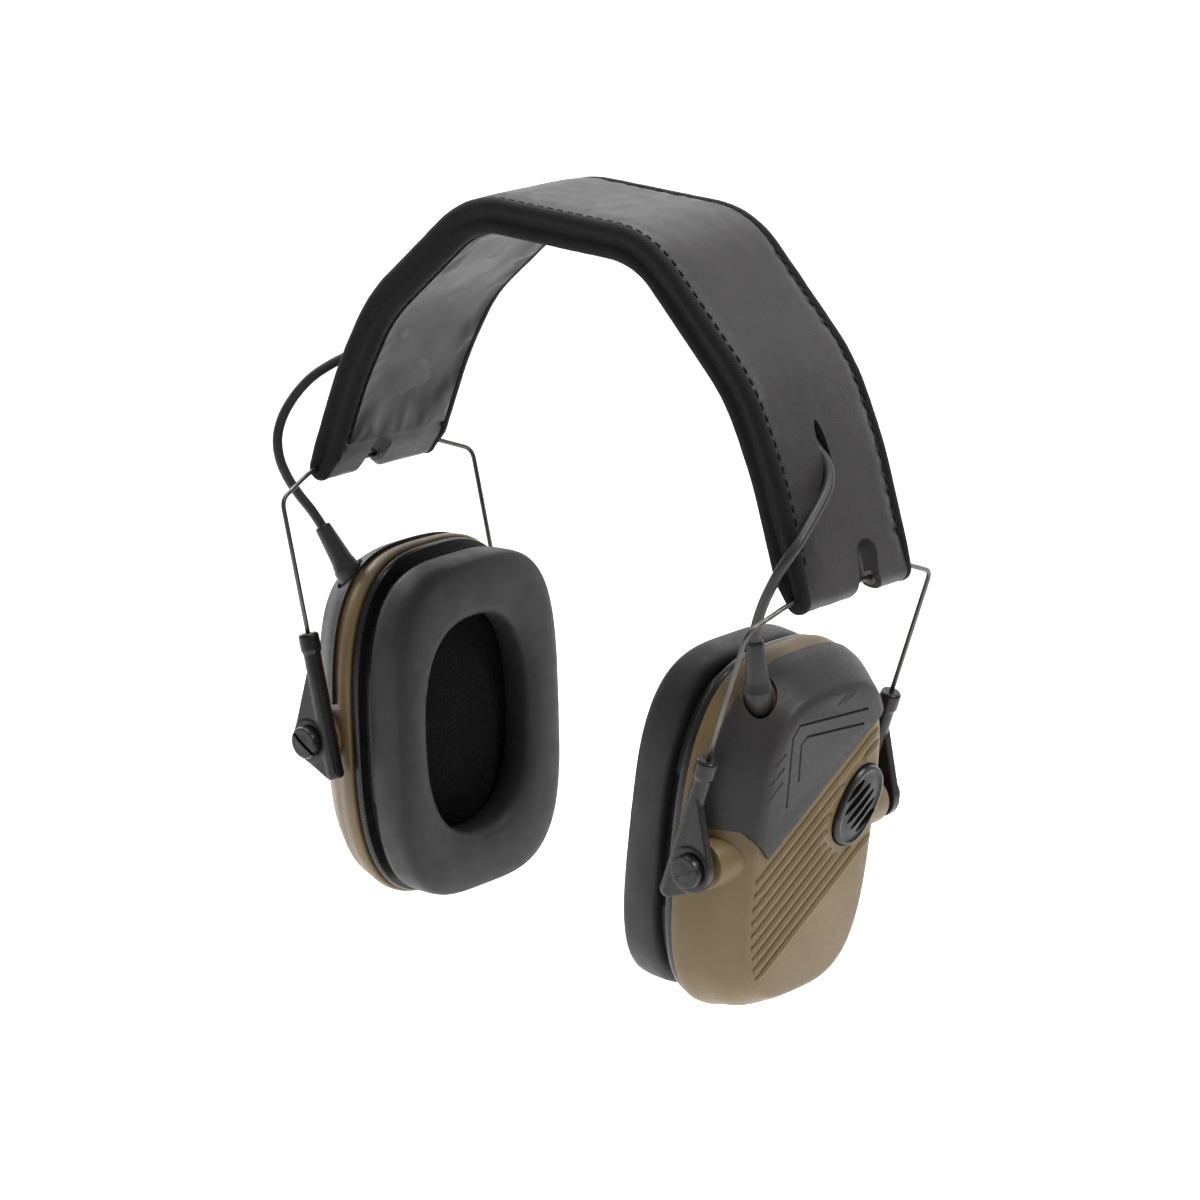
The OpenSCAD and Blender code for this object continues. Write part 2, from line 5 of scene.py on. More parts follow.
import bmesh
import bpy
import numpy as np
from mathutils import Matrix, Vector, noise
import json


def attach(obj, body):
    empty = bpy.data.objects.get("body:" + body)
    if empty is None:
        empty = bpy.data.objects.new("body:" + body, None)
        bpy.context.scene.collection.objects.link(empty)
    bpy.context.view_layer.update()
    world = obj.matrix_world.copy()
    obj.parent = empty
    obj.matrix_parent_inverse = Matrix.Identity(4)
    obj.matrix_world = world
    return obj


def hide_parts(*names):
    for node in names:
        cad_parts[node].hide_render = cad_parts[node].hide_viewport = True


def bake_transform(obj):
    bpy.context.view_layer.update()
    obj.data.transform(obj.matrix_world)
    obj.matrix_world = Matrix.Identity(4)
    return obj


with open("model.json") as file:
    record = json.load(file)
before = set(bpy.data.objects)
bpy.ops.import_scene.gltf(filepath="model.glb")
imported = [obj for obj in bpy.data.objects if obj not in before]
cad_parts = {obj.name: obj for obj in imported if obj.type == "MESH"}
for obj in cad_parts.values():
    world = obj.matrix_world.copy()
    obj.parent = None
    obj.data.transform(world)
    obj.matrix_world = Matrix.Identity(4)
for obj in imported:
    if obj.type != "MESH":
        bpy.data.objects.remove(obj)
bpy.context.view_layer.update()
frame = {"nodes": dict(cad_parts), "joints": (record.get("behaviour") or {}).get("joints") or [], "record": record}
joints = {j["name"]: j for j in frame["joints"]}

# ------------------------------------------------------------------ driving sizes, in millimetres

MM = 0.001
BAND_W = 46.4
BAND_T = 9.0
CROWN_HALF = 33.0
SHOULDER = (70.5, -26.5)
END_LEAN = math.radians(19.5)
ROLL_R = 3.6
END_LEN = 6.5
LINING_HALF = 20.4
NOTCH_W = 8.6
WIRE_R = 0.7
LEG_Y = 41.0
LEG_TOP = (87.5, -88.0)
LEG_LEAN = math.radians(16.2)
LEG_LEN = 72.0
TUBE_START = 40.0
TUBE_LEN = 44.0
TUBE_R = 2.6
PIVOT_S = 72.0
PIVOT_T = 6.0
CUP_TILT = math.radians(4.5)
RIM = (37.0, 54.0)
FACE = (27.5, 46.5)
FACE_D = 10.0
RIM_D = -10.5
COVER_D = -3.4
COVER_T = 1.2
RIB_ANGLE = math.radians(35)
RIB_PITCH = 3.5
RIB_COUNT = 9
SPLIT_Z = 16.5
GRILLE = (17.0, 7.0)
GRILLE_LONG = 12.4
GRILLE_SHORT = 8.6
GRILLE_TURN = RIB_ANGLE + math.radians(22)
COLLAR = (0.6, -21.5, 45.0)
KNOB = (-0.4, -27.0)
CUSHION = (36.0, 51.0)
EAR = (22.5, 33.0)
CABLE_R = 1.5
KNUCKLE = (joints["fold_right"]["pos_m"][0] / MM, joints["fold_right"]["pos_m"][2] / MM)
PIVOT = (joints["tilt_right"]["pos_m"][0] / MM, joints["tilt_right"]["pos_m"][2] / MM)

# ------------------------------------------------------------------ camera, light and floor


def make_camera():
    """A long lens above the wearer's left-front quarter, 1.14 m away."""
    azimuth = math.radians(40.44)
    height = math.radians(17.51)
    roll = math.radians(1.8)
    distance = 1.142857
    right = Vector((math.cos(azimuth), math.sin(azimuth), 0))
    back = Vector(
        (math.sin(azimuth) * math.cos(height), -math.cos(azimuth) * math.cos(height), math.sin(height))
    )
    up = back.cross(right)
    side = math.cos(roll) * right + math.sin(roll) * up
    top = -math.sin(roll) * right + math.cos(roll) * up
    target = Vector((0, 0, -0.0763)) - 0.00016 * side - 0.02997 * top
    camera = bpy.data.objects.new("camera", bpy.data.cameras.new("camera"))
    camera.data.lens = 120
    camera.data.sensor_width = 36
    camera.matrix_world = Matrix.Translation(target + distance * back) @ Matrix(
        (side, top, back)
    ).transposed().to_4x4()
    bpy.context.scene.collection.objects.link(camera)
    bpy.context.scene.camera = camera


def area_light(name, place, aim, size, power, colour=(1, 1, 1)):
    lamp = bpy.data.lights.new(name, "AREA")
    lamp.size = size
    lamp.energy = power
    lamp.color = colour
    holder = bpy.data.objects.new(name, lamp)
    holder.location = place
    holder.rotation_euler = (Vector(aim) - Vector(place)).to_track_quat("-Z", "Y").to_euler()
    bpy.context.scene.collection.objects.link(holder)


make_camera()

# ------------------------------------------------------------------ materials


class Nodes:
    """A short way to build a node material around one Principled shader."""

    def __init__(self, name, colour, roughness, **sockets):
        self.material = bpy.data.materials.new(name)
        self.material.use_nodes = True
        self.tree = self.material.node_tree
        self.shader = self.tree.nodes["Principled BSDF"]
        self.set("Base Color", (*colour, 1))
        self.set("Roughness", roughness)
        for key, value in sockets.items():
            self.set(key.replace("_", " "), value)
        self.place = self.add("ShaderNodeTexCoord").outputs["Object"]
        self.height = None

    def set(self, socket, value):
        self.shader.inputs[socket].default_value = value

    def add(self, kind, **values):
        node = self.tree.nodes.new(kind)
        for key, value in values.items():
            if hasattr(node, key):
                setattr(node, key, value)
            else:
                node.inputs[key.replace("_", " ")].default_value = value
        return node

    def link(self, a, b):
        self.tree.links.new(a, b)

    def texture(self, kind, output, place, **values):
        """One output of a texture over object coordinates that place scales or turns first."""
        mapping = self.add("ShaderNodeMapping", **place)
        self.link(self.place, mapping.inputs["Vector"])
        node = self.add(kind, **values)
        self.link(mapping.outputs["Vector"], node.inputs["Vector"])
        return node.outputs[output]

    def noise(self, scale, detail=3, rough=0.5, stretch=(1, 1, 1)):
        values = {"Scale": scale, "Detail": detail, "Roughness": rough}
        return self.texture("ShaderNodeTexNoise", "Fac", {"Scale": stretch}, **values)

    def cells(self, scale, feature="DISTANCE_TO_EDGE"):
        return self.texture("ShaderNodeTexVoronoi", "Distance", {}, feature=feature, Scale=scale)

    def wave(self, scale, direction, distortion=0.0):
        values = {"bands_direction": direction, "Scale": scale, "Distortion": distortion}
        return self.texture("ShaderNodeTexWave", "Fac", {}, **values)

    def ramp(self, source, low, high, a, b):
        node = self.add("ShaderNodeMapRange")
        self.link(source, node.inputs["Value"])
        for key, value in zip(("From Min", "From Max", "To Min", "To Max"), (low, high, a, b)):
            node.inputs[key].default_value = value
        return node.outputs["Result"]

    def math(self, operation, a, b):
        node = self.add("ShaderNodeMath", operation=operation)
        for socket, value in zip(node.inputs, (a, b)):
            if isinstance(value, (int, float)):
                socket.default_value = value
            else:
                self.link(value, socket)
        return node.outputs["Value"]

    def tint(self, source, low, high, a, b):
        """Base colour from a at low to b at high of the source."""
        mix = self.add("ShaderNodeMix", data_type="RGBA")
        mix.inputs["A"].default_value = (*a, 1)
        mix.inputs["B"].default_value = (*b, 1)
        self.link(self.ramp(source, low, high, 0, 1), mix.inputs["Factor"])
        self.link(mix.outputs["Result"], self.shader.inputs["Base Color"])

    def gloss(self, source, low, high, a, b):
        self.link(self.ramp(source, low, high, a, b), self.shader.inputs["Roughness"])

    def bump(self, source, strength, depth):
        node = self.add("ShaderNodeBump", Strength=strength, Distance=depth)
        self.link(source, node.inputs["Height"])
        if self.height is not None:
            self.link(self.height, node.inputs["Normal"])
        self.height = node.outputs["Normal"]
        self.link(self.height, self.shader.inputs["Normal"])


def leather(name, colour, light, roughness):
    m = Nodes(name, colour, roughness, Specular_IOR_Level=0.42)
    patches = m.noise(38, 4, 0.6)
    m.tint(patches, 0.3, 0.7, colour, light)
    grain = m.cells(1500)
    m.gloss(m.noise(160, 3), 0.3, 0.75, roughness - 0.07, roughness + 0.08)
    m.bump(m.ramp(grain, 0, 0.25, 0, 1), 0.35, 0.00012)
    m.bump(m.noise(420, 4), 0.25, 0.0002)
    m.bump(m.noise(55, 2), 0.25, 0.0009)
    return m.material


def plastic(name, colour, light, roughness, grain=2200, depth=0.00006):
    m = Nodes(name, colour, roughness, Specular_IOR_Level=0.45)
    m.tint(m.noise(45, 3), 0.3, 0.75, colour, light)
    m.gloss(m.noise(700, 2), 0.3, 0.7, roughness - 0.05, roughness + 0.07)
    m.bump(m.noise(grain, 2), 0.35, depth)
    return m.material


def satin(name, colour, light):
    m = Nodes(name, colour, 0.42, Sheen_Weight=0.06, Sheen_Roughness=0.4, Specular_IOR_Level=0.34)
    m.tint(m.noise(60, 3), 0.3, 0.7, colour, light)
    m.gloss(m.noise(90, 2), 0.3, 0.7, 0.36, 0.5)
    across = m.wave(900, "Y")
    along = m.wave(900, "DIAGONAL")
    m.bump(m.math("ADD", across, along), 0.18, 0.00008)
    m.bump(m.noise(70, 3, 0.5, (1, 0.5, 1)), 0.15, 0.0005)
    return m.material


def webbing(name, colour, light):
    m = Nodes(name, colour, 0.82, Sheen_Weight=0.03, Sheen_Roughness=0.5, Specular_IOR_Level=0.3)
    weave = m.math("MULTIPLY", m.wave(520, "X", 0.3), m.wave(520, "Z", 0.3))
    m.tint(weave, 0.1, 0.9, colour, light)
    m.bump(weave, 0.5, 0.0002)
    return m.material


def metal(name, colour, light, roughness):
    m = Nodes(name, colour, roughness, Metallic=1.0)
    m.tint(m.noise(240, 4, 0.6, (1, 1, 0.15)), 0.3, 0.75, colour, light)
    m.gloss(m.noise(900, 3, 0.6, (1, 1, 0.1)), 0.3, 0.7, roughness - 0.06, roughness + 0.1)
    m.bump(m.noise(1500, 2, 0.5, (1, 1, 0.05)), 0.2, 0.00004)
    return m.material


def foam(name, colour, light):
    m = Nodes(name, colour, 0.95, Specular_IOR_Level=0.2)
    holes = m.cells(950, feature="F1")
    m.tint(holes, 0.1, 0.6, light, colour)
    m.bump(holes, 0.8, 0.0005)
    m.bump(m.noise(240, 3), 0.4, 0.0006)
    return m.material


FINISHES = {
    "band_leather": (leather, (0.020, 0.018, 0.019), (0.032, 0.029, 0.030), 0.46),
    "band_edge": (webbing, (0.003, 0.0025, 0.0025), (0.008, 0.007, 0.007)),
    "thread": (webbing, (0.007, 0.006, 0.006), (0.018, 0.016, 0.016)),
    "band_satin": (satin, (0.006, 0.005, 0.005), (0.013, 0.010, 0.010)),
    "steel": (metal, (0.075, 0.072, 0.070), (0.16, 0.155, 0.15), 0.36),
    "cable_rubber": (plastic, (0.022, 0.021, 0.021), (0.034, 0.033, 0.033), 0.42, 1200, 0.00008),
    "black_plastic": (plastic, (0.008, 0.007, 0.007), (0.015, 0.013, 0.013), 0.3),
    "olive_plastic": (plastic, (0.150, 0.098, 0.040), (0.185, 0.125, 0.055), 0.46, 1500, 0.00012),
    "soft_rubber": (plastic, (0.021, 0.019, 0.019), (0.030, 0.027, 0.027), 0.5, 900, 0.00012),
    "cushion_skin": (leather, (0.019, 0.018, 0.018), (0.027, 0.026, 0.025), 0.54),
    "ear_foam": (foam, (0.003, 0.003, 0.003), (0.008, 0.008, 0.008)),
    "band_foam": (foam, (0.07, 0.07, 0.07), (0.14, 0.14, 0.14)),
    "band_trim": (webbing, (0.008, 0.008, 0.008), (0.02, 0.02, 0.02)),
    "driver_metal": (metal, (0.10, 0.10, 0.11), (0.18, 0.18, 0.19), 0.45),
    "board_green": (plastic, (0.012, 0.080, 0.030), (0.020, 0.120, 0.050), 0.35),
    "cell_wrap": (plastic, (0.45, 0.32, 0.08), (0.55, 0.40, 0.12), 0.3),
}
MATS = {name: maker(name, *values) for name, (maker, *values) in FINISHES.items()}
SLOTS = {s["node"]: s["material_slot"] for s in frame["record"]["subparts"]}
for cad_name, cad_object in frame["nodes"].items():
    cad_object.data.materials.clear()
    cad_object.data.materials.append(MATS[SLOTS[cad_name]])

# ------------------------------------------------------------------ mesh helpers


def new_object(name, points, faces, material, smooth=True):
    """A mesh object from points in millimetres in the row frame."""
    data = bpy.data.meshes.new(name)
    data.from_pydata([Vector(p) * MM for p in points], [], faces)
    mesh = bmesh.new()
    mesh.from_mesh(data)
    bmesh.ops.recalc_face_normals(mesh, faces=mesh.faces)
    mesh.to_mesh(data)
    mesh.free()
    if smooth:
        data.polygons.foreach_set("use_smooth", [True] * len(data.polygons))
    data.materials.append(MATS[material])
    thing = bpy.data.objects.new(name, data)
    bpy.context.scene.collection.objects.link(thing)
    return thing


def loop_faces(rows, size, closed):
    """Quads between rows of a stack of closed rings, wrapped to the first row if closed."""
    faces = []
    for i in range(rows if closed else rows - 1):
        j = (i + 1) % rows
        for k in range(size):
            n = (k + 1) % size
            faces.append((i * size + k, i * size + n, j * size + n, j * size + k))
    return faces


def skin_rings(name, rings, material, closed=False, smooth=True):
    """A solid over a stack of rings with the same number of points; its ends are capped unless it closes."""
    size = len(rings[0])
    points = [p for ring in rings for p in ring]
    faces = loop_faces(len(rings), size, closed)
    if not closed:
        faces.append(tuple(range(size)))
        faces.append(tuple(range((len(rings) - 1) * size, len(rings) * size)))
    return new_object(name, points, faces, material, smooth)


def spline(points, steps):
    """Smooth curve through the points, with that many steps between each two."""
    pts = [np.array(p, float) for p in points]
    padded = [2 * pts[0] - pts[1]] + pts + [2 * pts[-1] - pts[-2]]
    out = []
    for i in range(1, len(padded) - 2):
        a, b, c, d = padded[i - 1 : i + 3]
        for k in range(steps):
            t = k / steps
            out.append(
                0.5
                * (2 * b + (c - a) * t + (2 * a - 5 * b + 4 * c - d) * t * t + (3 * b - a - 3 * c + d) * t**3)
            )
    out.append(pts[-1])
    return out


def resample(points, count):
    """The same line with its points evenly spaced."""
    pts = np.array(points, float)
    steps = np.linalg.norm(np.diff(pts, axis=0), axis=1)
    along = np.concatenate(([0], np.cumsum(steps)))
    goal = np.linspace(0, along[-1], count)
    return np.stack([np.interp(goal, along, pts[:, k]) for k in range(pts.shape[1])], axis=1)


def sweep(points, radii, sides):
    """Rings of points round a line, with a radius for each point of it."""
    pts = np.array(points, float)
    heading = np.gradient(pts, axis=0)
    heading /= np.linalg.norm(heading, axis=1)[:, None]
    normal = np.cross(heading[0], (0.31, 0.87, 0.12))
    turns = [2 * math.pi * k / sides for k in range(sides)]
    rings = []
    for p, h, r in zip(pts, heading, radii):
        normal = normal - h * np.dot(normal, h)
        normal /= np.linalg.norm(normal)
        other = np.cross(h, normal)
        rings.append([p + r * (math.cos(t) * normal + math.sin(t) * other) for t in turns])
    return rings


def tube(name, points, radii, material, sides=16):
    """A round tube along the points, with one radius or a radius for each point."""
    if isinstance(radii, (int, float)):
        radii = [radii] * len(points)
    return skin_rings(name, sweep(points, radii, sides), material)


def revolve(name, profile, place, material, sides=48, closed=False):
    """A turned solid: profile is (distance along, radius), and place maps (along, a, b) to the row frame."""
    rings = [
        [
            place(s, r * math.cos(2 * math.pi * k / sides), r * math.sin(2 * math.pi * k / sides))
            for k in range(sides)
        ]
        for s, r in profile
    ]
    return skin_rings(name, rings, material, closed)


def box(name, low, high, place, material="black_plastic"):
    """A block between two corners, mapped by place; used as a cutter."""
    corners = [
        place(x, y, z) for x in (low[0], high[0]) for y in (low[1], high[1]) for z in (low[2], high[2])
    ]
    faces = [(0, 1, 3, 2), (4, 6, 7, 5), (0, 4, 5, 1), (2, 3, 7, 6), (0, 2, 6, 4), (1, 5, 7, 3)]
    return new_object(name, corners, faces, material, smooth=False)


def prism(name, outline, low, high, place, material="black_plastic"):
    """An outline of (a, b) points drawn from low to high along the first axis of place."""
    rings = [[place(s, a, b) for a, b in outline] for s in (low, high)]
    return skin_rings(name, rings, material, smooth=False)


def apply_modifiers(thing):
    """Bakes the object's modifiers into its mesh."""
    graph = bpy.context.evaluated_depsgraph_get()
    baked = bpy.data.meshes.new_from_object(thing.evaluated_get(graph))
    thing.modifiers.clear()
    thing.data = baked
    return thing


def combine(thing, tools, operation="DIFFERENCE"):
    """Cuts, joins or intersects the object with tools, which are then removed."""
    for tool in tools:
        step = thing.modifiers.new("boolean", "BOOLEAN")
        step.operation = operation
        step.object = tool
        step.solver = "EXACT"
        apply_modifiers(thing)
        bpy.data.objects.remove(tool)
    return thing


def melt(thing, voxel, rounds):
    """Joins overlapping solids into one skin with filleted corners."""
    step = thing.modifiers.new("remesh", "REMESH")
    step.mode = "VOXEL"
    step.voxel_size = voxel * MM
    step.use_smooth_shade = True
    step = thing.modifiers.new("smooth", "SMOOTH")
    step.factor = 0.5
    step.iterations = rounds
    return apply_modifiers(thing)


def join(name, things):
    """Several mesh objects as one."""
    first = things[0]
    mesh = bmesh.new()
    for thing in things:
        mesh.from_mesh(thing.data)
    mesh.to_mesh(first.data)
    mesh.free()
    for thing in things[1:]:
        bpy.data.objects.remove(thing)
    first.name = name
    return first


def flat_sharp(thing, angle=40):
    """Smooth shading with hard edges where faces meet sharply."""
    thing.data.polygons.foreach_set("use_smooth", [True] * len(thing.data.polygons))
    mesh = bmesh.new()
    mesh.from_mesh(thing.data)
    for edge in mesh.edges:
        edge.smooth = len(edge.link_faces) == 2 and edge.calc_face_angle(0) < math.radians(angle)
    mesh.to_mesh(thing.data)
    mesh.free()
    return thing


def cloth_push(thing, held, pressure, grow=0.0, frames=14):
    """How far a short cloth simulation moves each point of the mesh, in millimetres.

    The copy is ten times as large, because cloth settings suit furniture sizes. held maps point to pin weight.
    """
    double = bpy.data.objects.new("cloth_double", thing.data.copy())
    bpy.context.scene.collection.objects.link(double)
    start = np.array([v.co for v in double.data.vertices]) * 10
    double.data.vertices.foreach_set("co", start.ravel())
    group = double.vertex_groups.new(name="held")
    for index, weight in held.items():
        group.add([index], weight, "REPLACE")
    cloth = double.modifiers.new("cloth", "CLOTH").settings
    cloth.use_pressure = True
    cloth.uniform_pressure_force = pressure
    cloth.vertex_group_mass = "held"
    cloth.shrink_min = -grow
    cloth.effector_weights.gravity = 0
    for number in range(1, frames + 1):
        bpy.context.scene.frame_set(number)
    shown = double.evaluated_get(bpy.context.evaluated_depsgraph_get()).data
    stop = np.array([v.co for v in shown.vertices])
    bpy.data.objects.remove(double)
    bpy.context.scene.frame_set(1)
    return (stop - start) / 10 / MM


def move_points(thing, push, cap):
    """Moves the mesh points by push, in millimetres, none further than cap."""
    far = np.linalg.norm(push, axis=1)
    push = push * np.minimum(1, cap / np.maximum(far, 1e-6))[:, None]
    now = np.array([v.co for v in thing.data.vertices]) + push * MM
    thing.data.vertices.foreach_set("co", now.ravel())
    thing.data.update()


def settle(thing, body, *nodes, slot=None):
    """Gives a finished piece its body and hides the CAD nodes it stands for."""
    if body:
        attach(thing, body)
    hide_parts(*nodes)
    slot or SLOTS[nodes[0]]
    return thing


def superellipse(a, b, n, count=128):
    """Evenly spaced points on a rounded outline with half width a and half height b."""
    turn = np.linspace(0, 2 * math.pi, 721)
    raw = np.stack(
        [
            a * np.sign(np.cos(turn)) * np.abs(np.cos(turn)) ** (2 / n),
            b * np.sign(np.sin(turn)) * np.abs(np.sin(turn)) ** (2 / n),
        ],
        axis=1,
    )
    return resample(raw, count + 1)[:-1]


# ------------------------------------------------------------------ frames of the two sides


def sign(side):
    return 1 if side == "right" else -1


def cup(side):
    """Maps (outward, back, up) in a cup, from its pivot, to the row frame."""

    def place(d, y, z):
        x = PIVOT[0] + d * math.cos(CUP_TILT) + z * math.sin(CUP_TILT)
        return (sign(side) * x, y, PIVOT[1] - d * math.sin(CUP_TILT) + z * math.cos(CUP_TILT))

    return place


def leg(side, s):
    """Maps (outward, back, up) at the top of an arm's tube to the row frame."""

    def place(x, y, z):
        z = z - TUBE_START
        return (
            sign(side) * (LEG_TOP[0] + x * math.cos(LEG_LEAN) + z * math.sin(LEG_LEAN)),
            s * LEG_Y + y,
            LEG_TOP[1] - x * math.sin(LEG_LEAN) + z * math.cos(LEG_LEAN),
        )

    return place


def end(side):
    """Maps (outward, back, up) at the hinge line of the band's end to the row frame."""

    def place(x, y, z):
        return (
            sign(side) * (KNUCKLE[0] + x * math.cos(END_LEAN) - z * math.sin(END_LEAN)),
            y,
            KNUCKLE[1] + x * math.sin(END_LEAN) + z * math.cos(END_LEAN),
        )

    return place


# ------------------------------------------------------------------ headband


def bend(p, q, r, reach, count):
    """Points of the rounded corner q between p and r; the rounding starts reach away from it."""
    p, q, r = (np.array(v, float) for v in (p, q, r))
    start = q - reach * (q - p) / np.linalg.norm(q - p)
    stop = q + reach * (r - q) / np.linalg.norm(r - q)
    return [(1 - t) ** 2 * start + 2 * t * (1 - t) * q + t * t * stop for t in np.linspace(0, 1, count)]


def band_path(count=121):
    """Points of the band's outer surface from the left end to the right end, and their outward normals."""
    out = np.array((math.cos(END_LEAN), math.sin(END_LEAN)))
    up = np.array((-math.sin(END_LEAN), math.cos(END_LEAN)))
    last = np.array(KNUCKLE) + ROLL_R * out + END_LEN * up
    side = last + 28 * up
    corner = (CROWN_HALF, BAND_T)
    half = (
        bend((0, BAND_T), corner, SHOULDER, 13, 14)
        + bend(corner, SHOULDER, side, 10, 12)
        + bend(SHOULDER, side, last, 8, 6)
        + [last]
    )
    path = resample([(-x, z) for x, z in reversed(half)] + half, count)
    heading = np.gradient(path, axis=0)
    heading /= np.linalg.norm(heading, axis=1)[:, None]
    return path, np.stack([-heading[:, 1], heading[:, 0]], axis=1)


PATH, NORMAL = band_path()


def band_outline():
    """The band's closed side view with outward normals: outer line, right roll, inner line, left roll."""
    points = [(p, n, "outer") for p, n in zip(PATH, NORMAL)]
    for side in ("right", "left"):
        arc = []
        for k in range(13):
            turn = math.radians(-180 * k / 12)
            r = (math.cos(turn), math.sin(turn))
            x, _, z = end(side)(ROLL_R * r[0], 0, ROLL_R * r[1])
            ox, _, oz = end(side)(0, 0, 0)
            arc.append((np.array((x, z)), np.array((x - ox, z - oz)) / ROLL_R, "roll"))
        if side == "right":
            points += arc
            points += [(p - BAND_T * n, -n, "inner") for p, n in zip(PATH[::-1], NORMAL[::-1])]
        else:
            points += arc[::-1]
    return points


def ripple(p, scale, seed):
    """Smooth noise from -1 to 1 at a point, the same in each run."""
    return noise.noise(Vector((p[0] * scale + seed, p[1] * scale, p[2] * scale)))


def band_slab(name, rows, material, wrinkle):
    """The band's outline drawn through rows of (y, swelling), raised by what wrinkle(point, kind, y) says."""
    outline = band_outline()
    rings = []
    for y, swell in rows:
        ring = []
        for p, n, kind in outline:
            at = (p[0], y, p[1])
            lift = swell + wrinkle(at, kind, y)
            ring.append((p[0] + n[0] * lift, y, p[1] + n[1] * lift))
        rings.append(ring)
    return skin_rings(name, rings, material)


def notch_tools():
    """Cutters for the arched opening in each end of the band, with a flared mouth."""
    tools = []
    for side, y in (("right", 4.5), ("left", -4.5)):
        half = NOTCH_W / 2
        arch = [(-half - 2.6, -8.0), (half + 2.6, -8.0), (half + 2.2, -3.4), (half + 1.0, -2.0), (half, 0.5)]
        turns = [math.radians(a) for a in range(0, 181, 12)]
        arch += [(half * math.cos(a), 7 + half * math.sin(a)) for a in turns]
        arch += [(-half, 0.5), (-half - 1.0, -2.0), (-half - 2.2, -3.4)]
        spot = end(side)
        tools.append(prism("tool", arch, -9, 9, lambda s, a, b, spot=spot, y=y: spot(s, y + a, b)))
    return tools


def slit_tools():
    """Cutters for the slit that the cable comes out of at each side."""
    tools = []
    for side, lean, middle, half in (("right", 27, (80.8, -46.6), 9.0), ("left", 36, (79.2, -43.4), 7.6)):
        c, s = math.cos(math.radians(lean)), math.sin(math.radians(lean))

        def place(x, y, z, side=side, middle=middle, c=c, s=s):
            return (sign(side) * (middle[0] + x * c - z * s), -3 + y, middle[1] + x * s + z * c)

        oval = [(1.9 * math.cos(math.radians(a)), half * math.sin(math.radians(a))) for a in range(0, 360, 15)]
        tools.append(prism("tool", oval, -4.2, 8, place))
    return tools


def pad_wrinkle(p, kind, y):
    """Height that the pad's surface is raised at a point; on its two faces it fades out toward the edges."""
    inside = max(0.0, 1 - (y / 21) ** 4)
    if kind == "outer":
        return inside * (0.3 + 0.3 * ripple(p, 0.045, 3) + 0.08 * ripple(p, 0.19, 8))
    return inside * (0.3 * ripple(p, 0.06, 5)) if kind == "inner" else 0.15 * ripple(p, 0.2, 1)


def build_headband():
    """Padded band swollen by a cloth simulation, its two bound edges with their stitches, and the lining."""
    rows = [(y, 0.0) for y in np.linspace(-21.7, 21.7, 37)]
    pad = band_slab("band_pad", rows, "band_leather", pad_wrinkle)
    outline = band_outline()
    held = {
        row * len(outline) + k: 1.0
        for row, (y, _) in enumerate(rows)
        for k, (_, _, kind) in enumerate(outline)
        if abs(y) > 20 or kind != "outer"
    }
    move_points(pad, cloth_push(pad, held, 3.0, 0.015), 0.9)
    combine(pad, notch_tools() + slit_tools())
    flat_sharp(pad, 50)
    settle(pad, "headband", "band_cover", "band_core", "end_loop_right", "end_loop_left", slot="band_leather")

    profile = [
        (21.2, -2.0), (21.2, -0.1), (21.3, 0.25), (21.7, 0.55), (22.4, 0.65), (23.2, 0.5),
        (23.9, 0.0), (24.3, -0.8), (24.45, -1.8), (24.2, -2.9), (23.8, -3.4),
    ]
    for name, s in (("hem_front", -1), ("hem_back", 1)):
        hem = band_slab(
            name,
            [(s * y, h) for y, h in profile],
            "band_edge",
            lambda p, kind, y: 0.12 * ripple(p, 0.25, 4) - (0.35 if kind == "roll" else 0),
        )
        settle(hem, "headband", "band_binding", slot="band_trim")
        piping = []
        for kind, drop in (("outer", 0.0), ("inner", BAND_T)):
            line = [(p[0] - n[0] * drop, s * 20.7, p[1] - n[1] * drop) for p, n in zip(PATH, NORMAL)]
            away = 0.36 if kind == "outer" else -0.36
            line = [(q[0] + n[0] * away, q[1], q[2] + n[1] * away) for q, n in zip(line, NORMAL)]
            piping += stitch_row(line, 2.4, 3.6, 0.27)
        threads = join("stitches_" + name, piping)
        settle(threads, "headband", "band_binding", slot="band_trim")
    build_lining()


def stitch_row(line, length, pitch, radius):
    """Short threads lying along a line, slightly sunk at their ends."""
    pts = np.array(line, float)
    run = np.concatenate(([0], np.cumsum(np.linalg.norm(np.diff(pts, axis=0), axis=1))))
    spots = np.arange(2.0, run[-1] - length - 2.0, pitch)
    threads = []
    for s in spots:
        at = np.linspace(s, s + length, 5)
        mid = np.stack([np.interp(at, run, pts[:, k]) for k in range(3)], axis=1)
        threads.append(tube("stitch", mid, [0.12, radius, radius, radius, 0.12], "thread", 6))
    return threads


